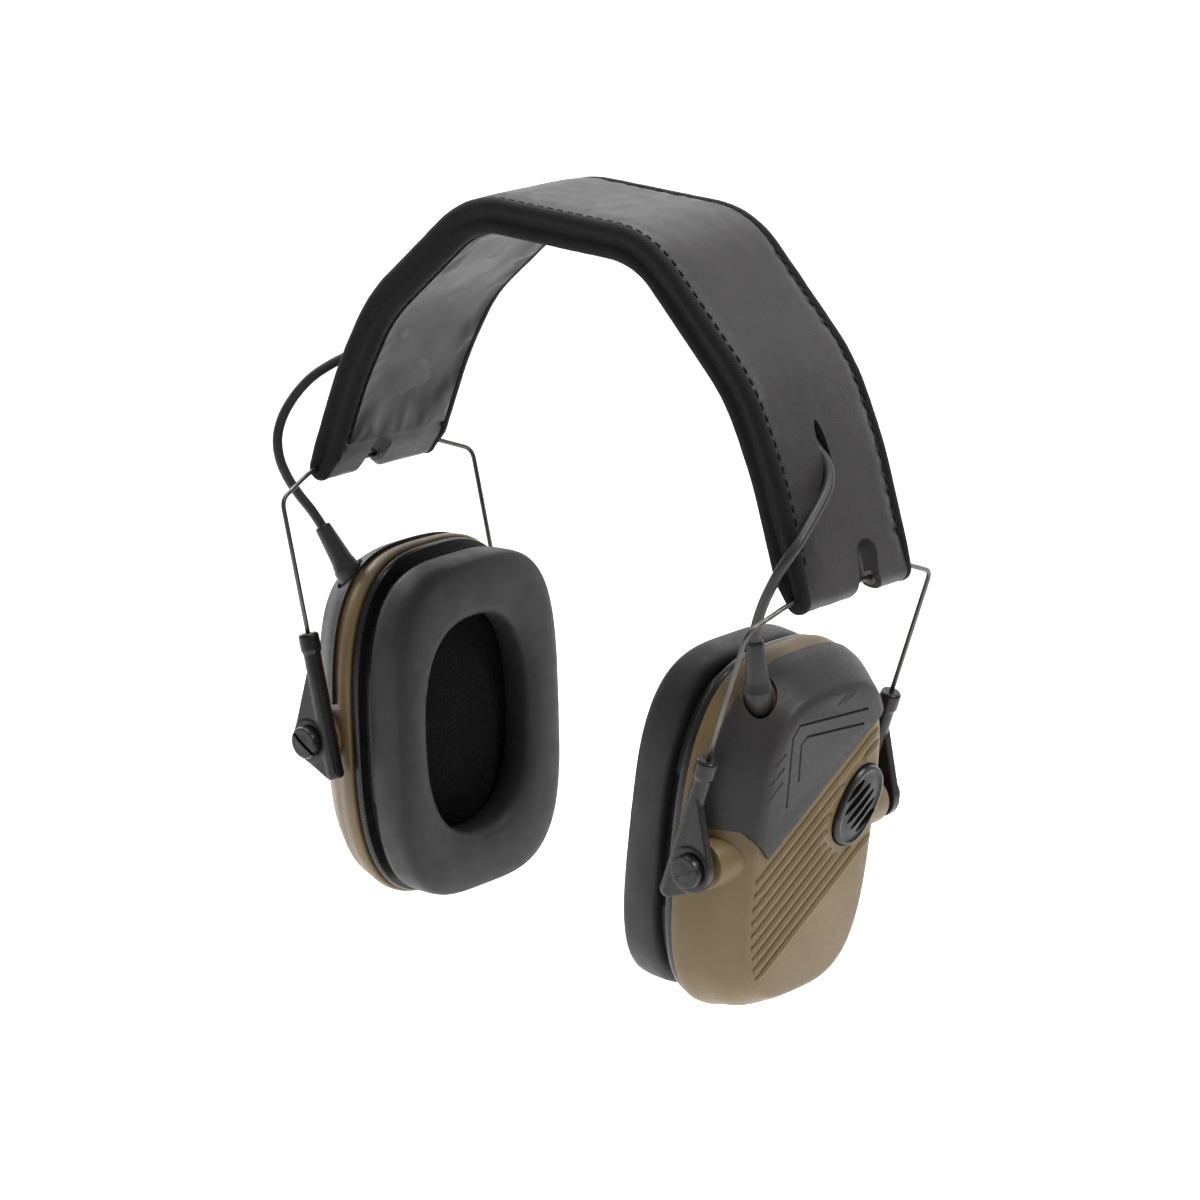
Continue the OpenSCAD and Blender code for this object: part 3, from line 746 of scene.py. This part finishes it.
def build_lining():
    """Satin panel on the inside of the band; a cloth simulation with spare cloth makes its folds."""
    line = resample(PATH - BAND_T * NORMAL, 202)[4:-4]
    facing = resample(NORMAL, 202)[4:-4]
    facing /= np.linalg.norm(facing, axis=1)[:, None]
    rows = np.linspace(-LINING_HALF, LINING_HALF, 29)
    grid, count = [], len(rows)
    for p, n in zip(line, facing):
        for y in rows:
            lift = 0.25 + 0.25 * ripple((p[0], y * 0.5, p[1]), 0.09, 9) * (1 - (y / LINING_HALF) ** 4)
            grid.append((p[0] - n[0] * lift, y, p[1] - n[1] * lift))
    faces = [
        (i * count + k, i * count + k + 1, (i + 1) * count + k + 1, (i + 1) * count + k)
        for i in range(len(line) - 1)
        for k in range(count - 1)
    ]
    sheet = new_object("cloth_sheet", grid, faces, "band_satin")
    last = len(line) - 1
    held = {
        i * count + k: 1.0
        for i in range(last + 1)
        for k in range(count)
        if k in (0, count - 1) or i in (0, last)
    }
    push = cloth_push(sheet, held, 0.0, 0.05, 22)
    bpy.data.objects.remove(sheet)
    rings = []
    for i, (p, n) in enumerate(zip(line, facing)):
        top = []
        for k, y in enumerate(rows):
            x, _, z = push[i * count + k]
            lift = 0.6 + 0.75 * math.tanh(-(x * n[0] + z * n[1]) / 1.1)
            spot = grid[i * count + k]
            top.append((spot[0] - n[0] * lift, y, spot[2] - n[1] * lift))
        low = [(p[0] + n[0], y, p[1] + n[1]) for y in rows[::-1]]
        rings.append(top + low)
    panel = skin_rings("band_lining_panel", rings, "band_satin")
    combine(panel, notch_tools())
    flat_sharp(panel, 60)
    settle(panel, "headband", "band_lining")


# ------------------------------------------------------------------ bails and arms


def rounded_line(corners, radius, count=7):
    """A line through corners, each one rounded."""
    pts = [np.array(c, float) for c in corners]
    out = [pts[0]]
    for a, b, c in zip(pts, pts[1:], pts[2:]):
        r = min(radius, 0.45 * np.linalg.norm(b - a), 0.45 * np.linalg.norm(c - b))
        start = b - r * (b - a) / np.linalg.norm(b - a)
        stop = b + r * (c - b) / np.linalg.norm(c - b)
        out += [(1 - t) ** 2 * start + 2 * t * (1 - t) * b + t * t * stop for t in np.linspace(0, 1, count)]
    return out + [pts[-1]]


def build_bail(side):
    """One bent wire: up the front leg, through the hinge line of the band's end, and down the back leg."""
    foot = (LEG_TOP[0] - LEG_LEN * math.sin(LEG_LEAN), LEG_TOP[1] - LEG_LEN * math.cos(LEG_LEAN))
    inner_y = BAND_W / 2 + 3
    half = [(foot[0], LEG_Y, foot[1]), (LEG_TOP[0], LEG_Y, LEG_TOP[1]), (KNUCKLE[0], inner_y, KNUCKLE[1])]
    corners = [(x, -y, z) for x, y, z in half] + half[::-1]
    line = rounded_line([(sign(side) * x, y, z) for x, y, z in corners], 3.2)
    wire = tube(f"bail_wire_{side}", line, WIRE_R, "steel", 16)
    settle(wire, f"bail_{side}_body", f"bail_{side}")


def build_arm(side, name, s):
    """Tube that slides on the wire, blended into a flat paddle that ends in the pivot's eye."""
    place = leg(side, s)

    def tip(x, y, z):
        return place(x, s * y, z)

    def lathe(profile):
        return revolve("part", profile, lambda t, a, b: tip(a, b, t), "black_plastic", 32)

    eye = TUBE_START - PIVOT_S
    parts = [
        lathe([(-TUBE_LEN, 2.0), (-TUBE_LEN + 0.7, TUBE_R), (0, TUBE_R)]),
        lathe([(-6.2, 2.5), (-5.2, 3.1), (-0.7, 3.1), (0, 2.6)]),
    ]
    hull = hull_outline([(0.3, -13, 1.9), (PIVOT_T, eye, 6.5), (0.2, 2 - TUBE_LEN, 2.2)])
    parts.append(prism("part", hull, -0.4, 2.3, lambda t, a, b: tip(a, t, b)))
    eye_ring = [(x + PIVOT_T, z + eye) for x, z in superellipse(6.5, 6.5, 2, 48)]
    parts.append(prism("part", eye_ring, -0.4, 2.6, lambda t, a, b: tip(a, t, b)))
    arm = join(f"arm_{name}", parts)
    melt(arm, 0.32, 5)
    arm.data.materials.clear()
    arm.data.materials.append(MATS["black_plastic"])
    settle(arm, f"arms_{side}", f"arm_{name}")


def hull_outline(discs):
    """Outline of the taut band around discs (x, z, radius)."""
    turns = np.linspace(0, 2 * math.pi, 37)[:-1]
    points = np.array([(x + r * math.cos(a), z + r * math.sin(a)) for x, z, r in discs for a in turns])
    order = points[np.lexsort((points[:, 1], points[:, 0]))]

    def half(seq):
        chain = []
        for p in seq:
            while len(chain) > 1 and np.cross(chain[-1] - chain[-2], p - chain[-1]) <= 0:
                chain.pop()
            chain.append(p)
        return chain

    low, high = half(order), half(order[::-1])
    return [tuple(p) for p in low[:-1] + high[:-1]]


# ------------------------------------------------------------------ ear cups

SKIN = [
    (FACE_D, FACE[0] - 3.0, FACE[1] - 3.0, 3.4),
    (FACE_D - 0.8, FACE[0] - 0.8, FACE[1] - 0.9, 3.3),
    (FACE_D - 3, FACE[0] + 1, FACE[1] + 0.9, 3.2),
    (1, FACE[0] + 5.6, FACE[1] + 4.6, 3.05),
    (COVER_D, RIM[0] - 1.8, RIM[1] - 1.5, 2.95),
    (-6, RIM[0] - 0.6, RIM[1] - 0.6, 2.9),
]


def skin_profile(grow, upto, steps=6):
    """Finer rings of the shell's outside, grown outward, from the face towards the rim."""
    grown = [
        (d + grow * f, a + grow, b + grow, n)
        for (d, a, b, n), f in zip(SKIN, (1, 0.8, 0.5, 0, 0, 0))
    ]
    return spline(grown[:upto], steps)


def ring_of(side, values, count=128):
    """One rounded outline on a cup, from (outward, half width, half height, roundness)."""
    d, a, b, n = values
    place = cup(side)
    return [place(d, y, z) for y, z in superellipse(a, b, n, count)]


def shell_solid(side, name):
    """The cup's wall: outside rings from the face to the rim, then inside rings back again."""
    hollow = [
        (RIM_D, RIM[0] - 2.4, RIM[1] - 2.4, 2.9),
        (-6, RIM[0] - 2.6, RIM[1] - 2.6, 2.9),
        (1, FACE[0] + 3.6, FACE[1] + 2.6, 3.05),
        (FACE_D - 3.4, FACE[0] - 1.6, FACE[1] - 1.7, 3.2),
        (FACE_D - 2, FACE[0] - 5.4, FACE[1] - 5.4, 3.4),
    ]
    rim = [(-7.6, RIM[0] - 0.1, RIM[1] - 0.1, 2.9), (-9.4, *RIM, 2.9)]
    rim += [(-10.2, RIM[0] - 0.15, RIM[1] - 0.15, 2.9), (RIM_D, RIM[0] - 0.5, RIM[1] - 0.5, 2.9)]
    rings = [ring_of(side, v) for v in skin_profile(0, 6) + rim + hollow]
    return skin_rings(name, rings, "olive_plastic")


def round_tool(side, y0, y1, r, d=0.0, z=0.0, sides=48):
    """Round cutter or boss along the pivot direction."""
    place = cup(side)
    return revolve("tool", [(y0, r), (y1, r)], lambda t, a, b: place(d + a, t, z + b), "olive_plastic", sides)


def collar_frame(side):
    """Maps (outward, back, up) at the cable's collar to the row frame."""
    lean = Matrix.Rotation(math.radians(-4.5 if side == "right" else 30), 3, "Y")
    turn = lean @ Matrix.Rotation(math.radians(9), 3, "X")
    place = cup(side)

    def spot(x, y, z):
        v = turn @ Vector((x, y, z)) + Vector(COLLAR)
        return place(*v)

    return spot


def grille_place(side):
    """Maps (outward, long way, short way) of the slanted microphone opening to the row frame."""
    place = cup(side)

    def spot(d, a, b):
        y = GRILLE[0] + a * math.cos(GRILLE_TURN) - b * math.sin(GRILLE_TURN)
        return place(d, y, GRILLE[1] + a * math.sin(GRILLE_TURN) + b * math.cos(GRILLE_TURN))

    return spot


def grille_tool(side, grow):
    """Oval cutter for the microphone opening."""
    oval = superellipse(GRILLE_LONG + grow, GRILLE_SHORT + grow, 2.4, 64)
    return prism("tool", [tuple(p) for p in oval], FACE_D - 4, FACE_D + 4, grille_place(side))


def door_tool(side, grow):
    """Box around the battery door, grown by grow."""
    low = (FACE_D - 3 - grow, -22.6 - grow, -38.6 - grow)
    return box("tool", low, (FACE_D + 3 + grow, 22.6 + grow, -15 + grow), cup(side))


def boss(side, s):
    """Round boss on the cup that carries the pivot pin."""
    place = cup(side)
    profile = [(27, 7.3), (37.2, 7), (37.9, 6.7), (38.1, 6.2), (38.1, 3.3), (40.1, 3.3), (40.4, 3.0)]
    return revolve("boss", profile, lambda t, a, b: place(a, s * t, b), "olive_plastic", 48)


def build_ribs(side):
    """Raised ribs on the lower face, short of its edge, broken at the grille and at the door's gap."""
    place = cup(side)
    ribs = []
    c, t = math.cos(RIB_ANGLE), math.tan(RIB_ANGLE)
    for i in range(RIB_COUNT):
        base = SPLIT_Z - 4.5 - i * RIB_PITCH / c
        inside = [
            y
            for y in np.linspace(-26, 26, 261)
            if (abs(y) / 25.6) ** 3.4 + (abs(base + y * t) / 44.4) ** 3.4 < 1
        ]
        if len(inside) < 20:
            continue
        run = []
        for y in np.linspace(inside[0], inside[-1], 40):
            z = base + y * t
            if not (in_grille(y, z, 1.4) or (side == "left" and in_door_gap(y, z))):
                run.append((y, z))
                continue
            if len(run) > 3:
                ribs.append(rib_bar(place, run))
            run = []
        if len(run) > 3:
            ribs.append(rib_bar(place, run))
    return join(f"shell_ribs_{side}", ribs)


def in_grille(y, z, grow):
    """True inside the microphone opening, grown by grow."""
    dy, dz = y - GRILLE[0], z - GRILLE[1]
    a = dy * math.cos(GRILLE_TURN) + dz * math.sin(GRILLE_TURN)
    b = -dy * math.sin(GRILLE_TURN) + dz * math.cos(GRILLE_TURN)
    return (abs(a) / (GRILLE_LONG + grow)) ** 2.4 + (abs(b) / (GRILLE_SHORT + grow)) ** 2.4 < 1


def in_door_gap(y, z):
    """True near the edge of the battery door, where ribs are interrupted."""
    inside = abs(y) < 21.9 and -37.9 < z < -15.7
    outside = abs(y) > 23.4 or z < -39.4 or z > -14.2
    return not inside and not outside


def rib_bar(place, run):
    """One rounded rib along a run of (y, z) points on the face."""
    run = resample(run, max(6, len(run)))
    across = np.array((-math.sin(RIB_ANGLE), math.cos(RIB_ANGLE)))
    rings = []
    last = len(run) - 1
    for k, (y, z) in enumerate(run):
        fade = min(1.0, 0.15 + min(k, last - k) * 0.6)
        ring = []
        for a in range(0, 360, 30):
            w = 1.15 * math.cos(math.radians(a)) * (0.6 + 0.4 * fade)
            h = 0.85 * math.sin(math.radians(a))
            h = h * fade if h > 0 else h * 0.3
            ring.append(place(FACE_D + h, y + across[0] * w, z + across[1] * w))
        rings.append(ring)
    return skin_rings("rib", rings, "olive_plastic")


def build_shell(side):
    """Hard cup with its bosses, openings and ribs, and on the left its battery door."""
    shell = shell_solid(side, f"shell_{side}")
    bosses = [boss(side, 1), boss(side, -1)]
    combine(shell, bosses, "UNION")
    spot = collar_frame(side)
    cutters = [
        grille_tool(side, 0.1),
        revolve("tool", [(-6, 4.2), (10, 4.2)], lambda t, a, b: spot(a, b, t), "olive_plastic", 40),
    ]
    if side == "left":
        combine(shell, [round_tool(side, 30, 36.6, 7.8, *KNOB)], "UNION")
        cutters.append(door_tool(side, 0.3))
        cutters.append(round_tool(side, 26, 40, 3.1, *KNOB, 32))
        build_door()
    combine(shell, cutters)
    flat_sharp(shell, 32)
    settle(shell, f"cup_{side}", f"cup_shell_{side}")
    settle(build_ribs(side), f"cup_{side}", f"cup_shell_{side}")


def build_door():
    door = shell_solid("left", "battery_door_panel")
    combine(door, [door_tool("left", 0)], "INTERSECT")
    flat_sharp(door, 32)
    settle(door, "door", "battery_door")
    barrels = []
    place = cup("left")
    hinge = (FACE_D + 0.2, -38.8)
    for y in (-19, -11, -3, 5, 13):
        part = revolve(
            "barrel",
            [(y, 1.1), (y + 0.3, 1.4), (y + 5.7, 1.4), (y + 6, 1.1)],
            lambda t, a, b: place(hinge[0] + a, t, hinge[1] + b),
            "olive_plastic",
            24,
        )
        barrels.append((part, "door" if y in (-11, 5) else "cup_left"))
    moving = join("door_barrels", [p for p, body in barrels if body == "door"])
    settle(moving, "door", "battery_door")
    fixed = join("shell_barrels", [p for p, body in barrels if body == "cup_left"])
    settle(fixed, "cup_left", "cup_shell_left")


def cover_zone(side):
    """The part of the cup that the rubber cover takes up, above its slanted lower edge."""
    low = SPLIT_Z - 23 * math.tan(RIB_ANGLE) + 1.2
    outline = [(-60, 10), (-30, 10), (-23, low), (60, low + 83 * math.tan(RIB_ANGLE)), (60, 90), (-60, 90)]
    return prism("tool", outline, -20, 20, cup(side))


def groove(side, line, width=0.75, depth=0.75):
    """V-shaped groove along a line of (y, z) points on the cover's face."""
    place = cup(side)
    top = FACE_D + COVER_T
    rings = []
    pts = resample(line, 12)
    heading = np.gradient(pts, axis=0)
    heading /= np.linalg.norm(heading, axis=1)[:, None]
    for (y, z), (hy, hz) in zip(pts, heading):
        rings.append(
            [
                place(top - depth, y, z),
                place(top + 0.6, y + hz * width, z - hy * width),
                place(top + 0.6, y - hz * width, z + hy * width),
            ]
        )
    return skin_rings("tool", rings, "soft_rubber", smooth=False)


def build_cover(side):
    """Rubber skin over the upper part of the cup, with a chevron and short grooves."""
    outer = [ring_of(side, v) for v in skin_profile(COVER_T, 5)]
    inner = [ring_of(side, v) for v in skin_profile(0.05, 5)[::-1]]
    cover = skin_rings(f"rubber_cover_{side}_skin", outer + inner, "soft_rubber")
    combine(cover, [cover_zone(side)], "INTERSECT")
    spot = collar_frame(side)
    cutters = [round_tool(side, s * 20, s * 50, 7.4) for s in (-1, 1)]
    cutters.append(grille_tool(side, 0.5))
    cutters.append(revolve("tool", [(-6, 5.2), (10, 5.2)], lambda t, a, b: spot(a, b, t), "soft_rubber", 40))
    for inset in (0, 4.2):
        chevron = [
            (-17.5 + inset, 15.5 + inset * 1.6),
            (-18.2 + inset, 38.6 - inset),
            (-17.2 + inset, 39.6 - inset),
            (15.5 - inset * 0.3, 37.0 - inset),
        ]
        cutters.append(groove(side, chevron))
    for i in range(3):
        cutters.append(groove(side, [(1 + 2.4 * i, 41.4 + 0.4 * i), (9.5 + 2.8 * i, 47.3)]))
        cutters.append(groove(side, [(-27, 19 + 4.2 * i), (-20.5, 24 + 4.2 * i)]))
    combine(cover, cutters)
    flat_sharp(cover, 32)
    settle(cover, f"cup_{side}", f"rubber_cover_{side}")


def build_grille(side):
    """Domed oval insert with slanted slots."""
    spot = grille_place(side)
    rings = []
    for d, shrink in ((FACE_D - 1.8, 0.1), (FACE_D + 0.9, 0.1), (FACE_D + 1.5, 0.5), (FACE_D + 1.7, 1.3),
                      (FACE_D + 1.3, 2.0), (FACE_D + 1.25, 2.8), (FACE_D + 1.5, 4.5), (FACE_D + 1.7, 7.0)):
        rings.append([spot(d, a, b) for a, b in superellipse(12.3 - shrink, 8.5 - shrink, 2.4, 64)])
    insert = skin_rings(f"mic_grille_{side}_insert", rings, "black_plastic")
    cutters = []
    tilt = math.radians(-22)
    for i in range(-2, 3):
        half = 6.9 - 0.55 * i * i
        slot = [(half * math.cos(a), 0.85 * math.sin(a)) for a in np.linspace(0, 2 * math.pi, 25)[:-1]]
        slot = [(a, b * (1.25 if abs(a) < half * 0.9 else 1)) for a, b in slot]

        def place(d, a, b, i=i):
            a2 = a * math.cos(tilt) - b * math.sin(tilt)
            b2 = a * math.sin(tilt) + b * math.cos(tilt)
            return spot(d, a2 + i * 3.5 * -math.sin(tilt), b2 + i * 2.9 * math.cos(tilt))

        cutters.append(prism("tool", slot, FACE_D - 0.2, FACE_D + 4, place))
    combine(insert, cutters)
    flat_sharp(insert, 32)
    settle(insert, f"cup_{side}", f"mic_grille_{side}")


def build_relief(side):
    """Collar and tapered rubber sleeve around the cable."""
    spot = collar_frame(side)
    profile = [
        (-3, 4.1), (3.2, 4.1), (3.8, 4.0), (4.2, 3.7), (5.4, 3.6), (5.9, 3.35), (6.4, 3.3), (10, 3.0),
        (14, 2.7), (17.0, 2.5), (17.7, 2.35), (18, 2.0), (17.9, 1.6), (8, 1.6), (2, 1.6),
    ]
    sleeve = revolve(f"cable_sleeve_{side}", profile, lambda t, a, b: spot(a, b, t), "cable_rubber", 40)
    settle(sleeve, f"cup_{side}", f"cable_relief_{side}")


def build_pins(side):
    """Slotted round heads of the pivot pins."""
    heads = []
    place = cup(side)
    for s in (-1, 1):
        profile = [
            (34, 2.5), (43.7, 2.5), (43.75, 4.6), (43.9, 4.9), (45.4, 4.9), (46.0, 4.6), (46.2, 4.0),
            (46.05, 3.3), (46.3, 2.0), (46.35, 0.6),
        ]
        head = revolve("pin", profile, lambda t, a, b, s=s: place(a, s * t, b), "black_plastic", 48)
        turn = math.radians(35 if s < 0 else 60)

        def slot_place(a, t, b, s=s, turn=turn):
            return place(
                a * math.cos(turn) - b * math.sin(turn), s * t, a * math.sin(turn) + b * math.cos(turn)
            )

        combine(head, [box("tool", (-6, 45.2, -0.6), (6, 48, 0.6), slot_place)])
        heads.append(flat_sharp(head, 32))
    settle(join(f"pivot_pin_heads_{side}", heads), f"cup_{side}", f"pivot_pins_{side}")


def ring_solid(side, name, rings, material, count=160):
    """A closed ring whose section is the list of (outward, half width, half height, roundness)."""
    stack = [ring_of(side, v, count) for v in rings]
    return skin_rings(name, stack, material, closed=True)


def build_base(side):
    """Dark ring between the shell and the cushion."""
    a, b = RIM
    ea, eb = EAR[0] + 2.5, EAR[1] + 3
    rings = [
        (-10.6, a - 1.3, b - 1.1, 2.9), (-11.0, a - 1.0, b - 0.8, 2.9), (-12.9, a - 1.0, b - 0.8, 2.9),
        (-13.4, a - 1.3, b - 1.1, 2.9), (-13.6, a - 3.2, b - 3.6, 2.9), (-14.0, a - 4.0, b - 5.0, 2.95),
        (-16.9, a - 4.0, b - 5.0, 3.0), (-17.4, a - 4.4, b - 5.4, 3.0),
        (-17.4, ea, eb, 2.6), (-10.6, ea, eb, 2.6),
    ]
    plate = ring_solid(side, f"base_ring_{side}", rings, "black_plastic")
    flat_sharp(plate, 40)
    settle(plate, f"cup_{side}", f"base_plate_{side}")


def cushion_rings():
    """Section of the ear cushion from the plate, out over the seam and back down in the ear opening."""
    a, b = CUSHION
    ea, eb = EAR
    return [
        (-17.6, a - 2.6, b - 2.6, 3.2), (-17.9, a - 1.0, b - 1.0, 3.25), (-18.8, a - 0.2, b - 0.2, 3.3),
        (-21.0, a, b, 3.35), (-23.6, a, b, 3.4), (-26.0, a, b, 3.4), (-27.7, a - 0.15, b - 0.15, 3.4),
        (-28.6, a - 0.55, b - 0.55, 3.4), (-29.1, a - 1.05, b - 1.05, 3.4), (-29.2, a - 1.5, b - 1.5, 3.4),
        (-29.6, a - 2.1, b - 2.1, 3.4), (-29.8, a - 3.6, b - 3.6, 3.3), (-29.9, a - 6.0, b - 6.2, 3.1),
        (-29.9, a - 8.6, b - 9.2, 2.9), (-29.8, ea + 2.8, eb + 3.4, 2.7), (-29.4, ea + 1.3, eb + 1.5, 2.55),
        (-28.3, ea + 0.4, eb + 0.4, 2.5), (-26.4, ea - 0.1, eb - 0.1, 2.5), (-23.2, ea - 0.3, eb - 0.3, 2.5),
        (-20.0, ea + 0.1, eb + 0.1, 2.5), (-17.8, ea + 0.9, eb + 0.9, 2.5),
    ]


def build_cushion(side):
    """Foam ring whose skin is swollen by a short cloth simulation between its seam and the ear opening."""
    count = 200
    rings = cushion_rings()
    skin = ring_solid(side, f"ear_cushion_{side}", rings, "cushion_skin", count)
    pins = {ring: 1.0 for ring in (0, 1, 2, 9, 18, 19, 20)} | {8: 0.6, 10: 0.6}
    held = {ring * count + k: weight for ring, weight in pins.items() for k in range(count)}
    move_points(skin, cloth_push(skin, held, 1.2), 0.35)
    place = cup(side)
    middle = place(-24, 0, 0)
    toward_ear = -sign(side)
    for v in skin.data.vertices:
        y, z = v.co.y / MM, v.co.z / MM - middle[2]
        inner = max(0.0, 1 - abs(math.hypot(y, z) - 29) / 12)
        turn = math.atan2(z, y)
        crease = 0.2 * inner * noise.noise(Vector((math.cos(turn) * 9, math.sin(turn) * 9, 0)))
        v.co.x += toward_ear * (crease + 0.1 * ripple(v.co / MM, 0.07, 12)) * MM
    flat_sharp(skin, 55)
    settle(skin, f"cup_{side}", f"cushion_{side}")


def build_liner(side):
    """Acoustic foam behind a thin cloth, slightly domed, in the bottom of the ear opening."""
    a, b = EAR[0] + 2.2, EAR[1] + 2.7
    rings = []
    for d, f in ((-10.3, 0.985), (-10.3, 1.0), (-15.2, 1.0), (-15.8, 0.985),
                 (-16.1, 0.9), (-16.4, 0.7), (-16.6, 0.4), (-16.65, 0.1)):
        rings.append(ring_of(side, (d, a * f, b * f, 2.6), 120))
    pad = skin_rings(f"ear_liner_{side}", rings, "ear_foam")
    for v in pad.data.vertices:
        v.co.x += 0.35 * MM * ripple(v.co / MM, 0.12, 30)
    settle(pad, f"cup_{side}", f"foam_liner_{side}")


def build_knob():
    """Volume knob with a grip of fine ridges."""
    place = cup("left")
    rings = []
    for t, r, ridge in ((36.9, 6.6, 0), (37.3, 7.2, 0.3), (38.0, 7.4, 1), (42.0, 7.3, 1), (42.7, 6.9, 0.6),
                        (43.0, 6.2, 0), (42.9, 5.0, 0), (42.7, 3.0, 0), (42.7, 1.0, 0)):
        ring = []
        for k in range(144):
            a = 2 * math.pi * k / 144
            rr = r - 0.28 * ridge * (0.5 + 0.5 * math.cos(24 * a))
            ring.append(place(KNOB[0] + rr * math.cos(a), t, KNOB[1] + rr * math.sin(a)))
        rings.append(ring)
    knob = skin_rings("volume_knob_grip", rings, "black_plastic")
    mark = box("tool", (-0.45, 42.0, 2.2), (0.45, 45, 6.4), lambda a, t, b: place(KNOB[0] + a, t, KNOB[1] + b))
    combine(knob, [mark])
    flat_sharp(knob, 32)
    settle(knob, "knob", "volume_knob")


# ------------------------------------------------------------------ signal cable

ROUTE_RIGHT = [
    (77.3, -22.2, -110), (77.3, -23.1, -104), (77.5, -24.4, -97), (78.5, -25.7, -92.4),
    (80.6, -27, -87.4), (83, -28, -82.6), (85.4, -28.4, -78), (87.6, -28.2, -73.6),
    (89.4, -26.8, -69.6), (90.2, -24.2, -66.4), (89.9, -20.6, -63.4), (89.2, -16.6, -60.6),
    (88.3, -12.4, -57.8), (87.2, -8.4, -55), (85.2, -5, -51.8), (82.4, -3.2, -48.8),
    (79.4, -3, -46.2), (76.2, -3, -43), (73.6, -3, -38.9),
]
ROUTE_LEFT = [
    (-73.6, -3, -38.9), (-76.2, -3, -41.4), (-79.4, -3, -43), (-83, -3.6, -44.8),
    (-86.9, -5.6, -47.2), (-91, -8.8, -50.2), (-95.2, -13.2, -53.4), (-98.8, -18, -57.4),
    (-101.6, -22, -62.8), (-103, -25.4, -68.6), (-103, -27.6, -74.8), (-101.4, -28.2, -80.8),
    (-98.6, -27.6, -86.2), (-95, -26.4, -91), (-90.9, -25.3, -95.1), (-87.4, -24.3, -99.5),
    (-83.2, -23.1, -105.4), (-79.6, -22.1, -110.7),
]
CABLE_TAIL = {"right": (77.3, -21.4, -120), "left": (-75.2, -20.9, -118)}
CABLE_STEP = 0.78
CABLE_PART = 40
CABLE_DROP = 3.0


def build_cable():
    """Each side's cable as three cords cut along its length, and the stretch in the band."""
    for side, route in (("right", ROUTE_RIGHT[::-1]), ("left", ROUTE_LEFT)):
        line = spline(route + [CABLE_TAIL[side]], 8)
        length = float(np.linalg.norm(np.diff(line, axis=0), axis=1).sum())
        count = round(length / CABLE_STEP)
        line = resample(line, count + 1)
        rings = sweep(line, [CABLE_R] * (count + 1), 16)
        cuts = (0, count - 2 * CABLE_PART, count - CABLE_PART, count)
        for i, name in enumerate(("upper", "middle", "lower")):
            first, last = cuts[i : i + 2]
            piece = skin_rings(f"cable_{name}_{side}", rings[first : last + 1], "cable_rubber")
            flat_sharp(piece, 60)
            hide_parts("signal_cable")
            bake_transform(piece)
            path = line[first : last + 1] * MM
            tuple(path[0])
    inner = [
        (p[0] - n[0] * CABLE_DROP, -3, p[1] - n[1] * CABLE_DROP) for p, n in zip(PATH, NORMAL) if abs(p[0]) < 75
    ]
    settle(tube("cable_in_band", inner, CABLE_R, "cable_rubber", 12), "headband", "signal_cable")


# ------------------------------------------------------------------ the whole object

build_cable()
build_headband()
for cup_side in ("right", "left"):
    build_bail(cup_side)
    build_arm(cup_side, f"front_{cup_side}", -1)
    build_arm(cup_side, f"back_{cup_side}", 1)
    build_shell(cup_side)
    build_cover(cup_side)
    build_grille(cup_side)
    build_relief(cup_side)
    build_pins(cup_side)
    build_base(cup_side)
    build_cushion(cup_side)
    build_liner(cup_side)
build_knob()

# ------------------------------------------------------------------ studio

FLOOR_Z = -420.0
VIEW_TURN = math.radians(40.44)


def studio_point(across, away, up):
    """A place in the studio, which is turned to face the camera."""
    c, s = math.cos(VIEW_TURN), math.sin(VIEW_TURN)
    return (across * c - away * s, across * s + away * c, up)


def build_floor():
    """Pale paper that runs from under the camera to behind the object and curves up."""
    side = [(-2600, FLOOR_Z), (1200, FLOOR_Z)]
    turns = [math.radians(a) for a in range(10, 91, 10)]
    side += [(1200 + 700 * math.sin(a), FLOOR_Z + 700 - 700 * math.cos(a)) for a in turns]
    side += [(1900, FLOOR_Z + 2600)]
    rings = [studio_point(x, away, up) for away, up in side for x in (-3200, 3200)]
    faces = [(2 * i, 2 * i + 1, 2 * i + 3, 2 * i + 2) for i in range(len(side) - 1)]
    floor = new_object("floor", rings, faces, "band_satin")
    paper = Nodes("paper", (0.86, 0.86, 0.86), 0.9, Emission_Color=(1, 1, 1, 1), Emission_Strength=0.55)
    paper.tint(paper.noise(3, 2), 0.3, 0.7, (0.86, 0.86, 0.86), (0.88, 0.88, 0.88))
    paper.bump(paper.noise(900, 2), 0.1, 0.0002)
    floor.data.materials.clear()
    floor.data.materials.append(paper.material)


def light(name, across, away, up, size, power, aim=(0, 0, -100)):
    place = [v * MM for v in studio_point(across, away, up)]
    area_light(name, place, [v * MM for v in studio_point(*aim)], size, power)


build_floor()
world = bpy.data.worlds.new("studio")
world.use_nodes = True
world.node_tree.nodes["Background"].inputs["Color"].default_value = (1, 1, 1, 1)
world.node_tree.nodes["Background"].inputs["Strength"].default_value = 0.25
bpy.context.scene.world = world
light("key", 750, -450, 900, 0.4, 9)
light("top", -100, 250, 900, 0.6, 8)
light("rim_left", -750, 850, 300, 0.5, 4.5)
light("rim_right", 900, 700, 200, 0.6, 1.2)
light("wash", 0, 1200, 1500, 2.0, 14, (0, 1900, -200))
bpy.context.scene.view_settings.view_transform = "Standard"
